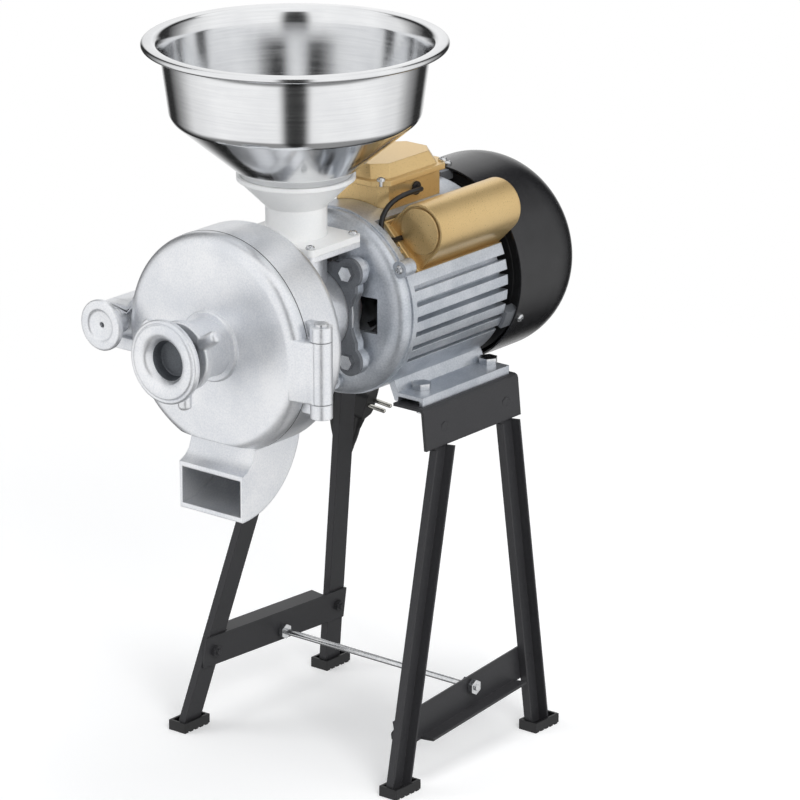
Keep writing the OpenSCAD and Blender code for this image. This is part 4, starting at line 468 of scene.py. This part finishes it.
# Takes a second shape into the first
def join(shape, other):
    spare = mesh_of("spare", other)
    shape.from_mesh(spare)
    bpy.data.meshes.remove(spare)


# Place for a turned shape whose axis points to the front
def facing_front(x, y, z=SHAFT_Z):
    return Matrix.Translation(Vector((x, y, z)) * MM) @ Matrix.Rotation(math.radians(90), 4, "X")


def frame_slot(node):
    return next(part["material_slot"] for part in frame["record"]["subparts"]
                if part["node"] == node)


def body_of(node):
    bodies = frame["record"]["behaviour"]["bodies"]
    return next(body for body, nodes in bodies.items() if node in nodes)


# A solid's own mesh, with its loose triangles merged
def solid_mesh(node):
    shape = bmesh.new()
    shape.from_mesh(frame["nodes"][node].data)
    bmesh.ops.remove_doubles(shape, verts=shape.verts, dist=SOLID_MERGE)
    return shape


# A casting's solid with its facets merged and its curves shaded smooth
def fair(node, name, body, slot, sharp=30, extra=None, finish_used=None, reshape=None):
    shape = solid_mesh(node)
    if reshape:
        reshape(shape)
    if extra:
        join(shape, extra)
    piece(name, shape, finish_used or FINISHES[slot], body, [node], sharp)


# Height of the hopper's foot above the shaft
HOPPER_UP = 131


# Spun hopper: lip, cone, wall, flare and rolled rim
def make_hopper():
    outline = [(50.3, 0, 0.4), (51.5, 0, 0.4), (51.5, 6, 3), (115, 59.05, 5), (123, 120.4, 5),
               (129, 128.3, 3), (134, 128.3, 0.3), (134, 123.5, 2.5), (140, 123.5, 2.9),
               (140, 129.5, 2.9), (127.6, 129.5, 3), (121.8, 120.4, 5), (113.8, 59.5, 5),
               (50.3, 6.48, 3)]
    foot = Vector((0, THROAT_Y, SHAFT_Z + HOPPER_UP)) * MM
    piece("spun_hopper", turn(outline, Matrix.Translation(foot), 160), stainless, "hopper",
          ["hopper"])


# Bolts of the stand: their outer heads are pressed nearly flush with the sheet and painted over
BOLT_LEAST, BOLT_HEAD, BOLT_HEAD_LEFT = 10, 5.25, 0.16


def make_frame_bolts():
    shape = solid_mesh("frame_bolts")
    left = set(shape.verts)
    while left:
        bolt, fresh = set(), {left.pop()}
        while fresh:
            bolt |= fresh
            fresh = {e.other_vert(v) for v in fresh for e in v.link_edges} & left
            left -= fresh
        reach = [abs(v.co.x) for v in bolt]
        if max(reach) - min(reach) > BOLT_LEAST * MM:
            seat = max(reach) - BOLT_HEAD * MM
            for v in bolt:
                if abs(v.co.x) > seat:
                    v.co.x = math.copysign(seat + (abs(v.co.x) - seat) * BOLT_HEAD_LEFT, v.co.x)
    piece("frame_rivet_bolts", shape, powder_black, "frame",
          ["frame_bolts"], 30)


# Adjusting knob: a thick rolled rim round a deep funnel, with painted shade behind the rim and down in the
# funnel
KNOB_BACK_Y = -236.5
KNOB_SHADE_R, KNOB_SHADE_HEIGHT, FUNNEL_SHADE_R = 36, 14.9, 17.2


def make_adjusting_knob():
    outline = [(12.1, 0.05, 0.2), (24, 0.05, 1), (28.5, 7.5, 1.5), (30, 10.1, 1), (30, 15, 0.8),
               (39, 15, 2.4), (39, 22.4, 2.4), (35.8, 22.4, 0.7), (35.1, 21.5, 0.5),
               (34, 23.3, 0.9), (23.5, 23.5, 4.5), (17.6, 13, 3), (16.6, 5.2, 1), (0, 5, 0),
               (0, 3.7, 0), (12.1, 3.7, 0.2)]
    shape = turn(outline, facing_front(0, KNOB_BACK_Y))
    # Faces behind the rim and down in the funnel take the second finish, a dark painted shade
    for face in shape.faces:
        spot = face.calc_center_median() / MM
        reach, height = math.hypot(spot.x, spot.z - SHAFT_Z), KNOB_BACK_Y - spot.y
        behind = height < KNOB_SHADE_HEIGHT and reach < KNOB_SHADE_R
        face.material_index = int(behind or reach < FUNNEL_SHADE_R)
    piece("adjusting_handwheel", shape, cast_silver, "screw", ["adjusting_knob"],
          second=cast_painted_shade)


# Lock ring: a disc with three stout round-ended stubs
LOCK_RING_Y, STUB_Y, STUB_DEGREES = -228.05, -232.3, (33, 153, 273)


def make_lock_ring():
    disc = [(12.1, 0, 0.3), (12.1, 8.45, 0.3), (32.5, 8.45, 1.6), (32.5, 0, 1.6)]
    shape = turn(disc, facing_front(0, LOCK_RING_Y))
    middle = Matrix.Translation(Vector((0, STUB_Y, SHAFT_Z)) * MM)
    for degrees in STUB_DEGREES:
        stub = turn([(0, 28.5, 0), (7, 28.5, 0.5), (6.2, 50.5, 4), (0, 50.5, 0)],
                    Matrix.Identity(4), 32)
        bmesh.ops.transform(stub, verts=stub.verts,
                            matrix=middle @ Matrix.Rotation(math.radians(90 - degrees), 4, "Y"))
        join(shape, stub)
    piece("lock_ring_casting", shape, cast_silver, "lock_ring", ["lock_ring"])


# Clamp knob: hub, disc with a recessed face and a blind hole
CLAMP_X, CLAMP_Y = -118, -186


def make_clamp_knob():
    outline = [(5.05, 0, 0.3), (12.5, 0, 0.6), (12.3, 3, 1), (10, 20.5, 1.5), (24, 20.5, 1.6),
               (24, 26.5, 2.2), (15.4, 26.5, 0.9), (13.9, 24.5, 1.4), (2.5, 23.7, 0.5),
               (2.5, 21, 0.3), (5.05, 21, 0.3)]
    shape = turn(outline, facing_front(CLAMP_X, CLAMP_Y))
    piece("clamp_handwheel", shape, cast_silver, "clamp", ["clamp_knob"])


# Upper ears of the latch: left of EAR_X their tops and undersides drop, by their height above the shaft
EAR_X, EAR_FACES_FROM, EAR_POINTS_FROM, EAR_TOPS_FROM = -105, 10, 12, 20
EAR_TOP_DROP, EAR_UNDERSIDE_DROP, EAR_FACE_REACH, EAR_POINT_REACH = 10.5, 6.5, 0.5, 0.1


def lower_ears(shape):
    high = [f for f in shape.faces
            if f.calc_center_median().z > (SHAFT_Z + EAR_FACES_FROM) * MM
            and min(v.co.x for v in f.verts) < (EAR_X + EAR_FACE_REACH) * MM]
    geom = high + [v for f in high for v in f.verts] + [e for f in high for e in f.edges]
    bmesh.ops.bisect_plane(shape, geom=list(dict.fromkeys(geom)), dist=CUT_REACH,
                           plane_co=(EAR_X * MM, 0, 0), plane_no=(1, 0, 0))
    for v in shape.verts:
        above = v.co.z / MM - SHAFT_Z
        if v.co.x < (EAR_X + EAR_POINT_REACH) * MM and above > EAR_POINTS_FROM:
            v.co.z -= (EAR_TOP_DROP if above > EAR_TOPS_FROM else EAR_UNDERSIDE_DROP) * MM


# Dark gasket line between the drum and its cover, which also stands as painted seam shadow, cut off where
# the chute begins
GASKET_SHADE_Y, GASKET_SHADE_T, GASKET_SHADE_INNER, GASKET_SHADE_OUTER, GASKET_SHADE_DOWN = -177.65, 0.7, 101, 103.15, 89


def make_gasket_seam_shade():
    strip = [(GASKET_SHADE_INNER, 0, 0), (GASKET_SHADE_OUTER, 0, 0), (GASKET_SHADE_OUTER, GASKET_SHADE_T, 0),
             (GASKET_SHADE_INNER, GASKET_SHADE_T, 0)]
    shape = turn(strip, facing_front(0, GASKET_SHADE_Y), 192)
    bmesh.ops.bisect_plane(shape, geom=shape.verts[:] + shape.edges[:] + shape.faces[:],
                           dist=CUT_REACH, plane_co=(0, 0, (SHAFT_Z - GASKET_SHADE_DOWN) * MM),
                           plane_no=(0, 0, -1), clear_outer=True)
    bmesh.ops.holes_fill(shape, edges=[e for e in shape.edges if e.is_boundary], sides=0)
    # A strip of black vinyl, partly a gasket and partly painted seam shadow
    piece("cover_gasket_seam_shade", shape, black_vinyl, "frame", [])


# Block of the cover's hinge between the knuckles
HINGE_BLOCK_LOW, HINGE_BLOCK_HIGH, HINGE_BLOCK_ROUNDING = 403.3, 460.5, 1.4


def hinge_block():
    plan = [(91, -193.3), (108, -190.2), (115, -187.4), (115, -178.1), (91, -178.1)]
    return upright(plan, HINGE_BLOCK_LOW, HINGE_BLOCK_HIGH, HINGE_BLOCK_ROUNDING)


# Trim of the capacitor cover: a lip along three sides of its seat on the motor, and a disc on its front end
LIP_SEAT_R, LIP_LOW, LIP_HIGH, LIP_ROUNDING = 75.5, 1.1, 3.6, 1.1
LIP_OUT, LIP_IN, LIP_FRONT, LIP_SIDE_FROM, LIP_REAR = 30, 27.2, (10.5, 13.3), 12.5, 135.5
END_DISC_R, END_DISC_T, END_DISC_AT = 22, 0.9, (72.1, 17.5, 509.6)


def capacitor_trim():
    seat = (Matrix.Translation(Vector((0, 0, SHAFT_Z)) * MM)
            @ Matrix.Rotation(math.radians(45), 4, "Y")
            @ Matrix.Translation(Vector((0, 0, LIP_SEAT_R)) * MM))
    near, far = LIP_FRONT
    lip = upright([(-LIP_OUT, near), (LIP_OUT, near), (LIP_OUT, far), (-LIP_OUT, far)],
                  LIP_LOW, LIP_HIGH, LIP_ROUNDING)
    for side in (-1, 1):
        bar = [(side * LIP_IN, LIP_SIDE_FROM), (side * LIP_OUT, LIP_SIDE_FROM),
               (side * LIP_OUT, LIP_REAR), (side * LIP_IN, LIP_REAR)]
        join(lip, upright(bar, LIP_LOW, LIP_HIGH, LIP_ROUNDING))
    bmesh.ops.transform(lip, matrix=seat, verts=lip.verts)
    disc = [(0, 0, 0), (END_DISC_R, 0, 0), (END_DISC_R, END_DISC_T, 0.6), (0, END_DISC_T, 0)]
    trim = turn(disc, facing_front(*END_DISC_AT), 64)
    join(trim, lip)
    return trim


# Flat skirt of the cooling fan, which closes the view into its cover
SKIRT_Y, SKIRT_INNER, SKIRT_OUTER, SKIRT_T = 148, 60, 90.5, 2


def fan_skirt():
    flat = [(SKIRT_INNER, 0, 0.3), (SKIRT_OUTER, 0, 0.6), (SKIRT_OUTER, SKIRT_T, 0.6),
            (SKIRT_INNER, SKIRT_T, 0.3)]
    return turn(flat, facing_front(0, SKIRT_Y))


# Castings, drawn sheets and mouldings whose solids have the right form, with what the eye misses added
def make_castings():
    fair("mill_housing", "mill_housing_casting", "frame", "cast_silver", reshape=lower_ears)
    fair("swing_pin", "latch_pin", body_of("swing_pin"), frame_slot("swing_pin"),
         reshape=lower_ears)
    fair("mill_cover", "mill_cover_casting", "cover", "cast_silver", extra=hinge_block(),
         reshape=lower_ears)
    # The motor's castings take the greyer finish, partly painted shade
    fair("motor_body", "motor_body_casting", "frame", "cast_silver", finish_used=cast_motor_tone_and_shade)
    fair("front_bell", "front_bell_casting", "frame", "cast_silver", finish_used=cast_motor_tone_and_shade)
    fair("fan_cover", "fan_cover_drawn", "frame", "fan_black")
    fair("capacitor_cover", "capacitor_cover_drawn", "frame", "bronze_paint",
         extra=capacitor_trim())
    fair("cooling_fan", "cooling_fan_moulding", "shaft", frame_slot("cooling_fan"),
         extra=fan_skirt())
    fair("feed_neck", "feed_neck_moulding", "frame", "white_plastic")


place_camera()
make_studio()
dress_solids()
make_castings()
make_frame_bolts()
make_gasket_seam_shade()
make_lock_ring()
make_cord()
make_hopper()
make_adjusting_knob()
make_clamp_knob()
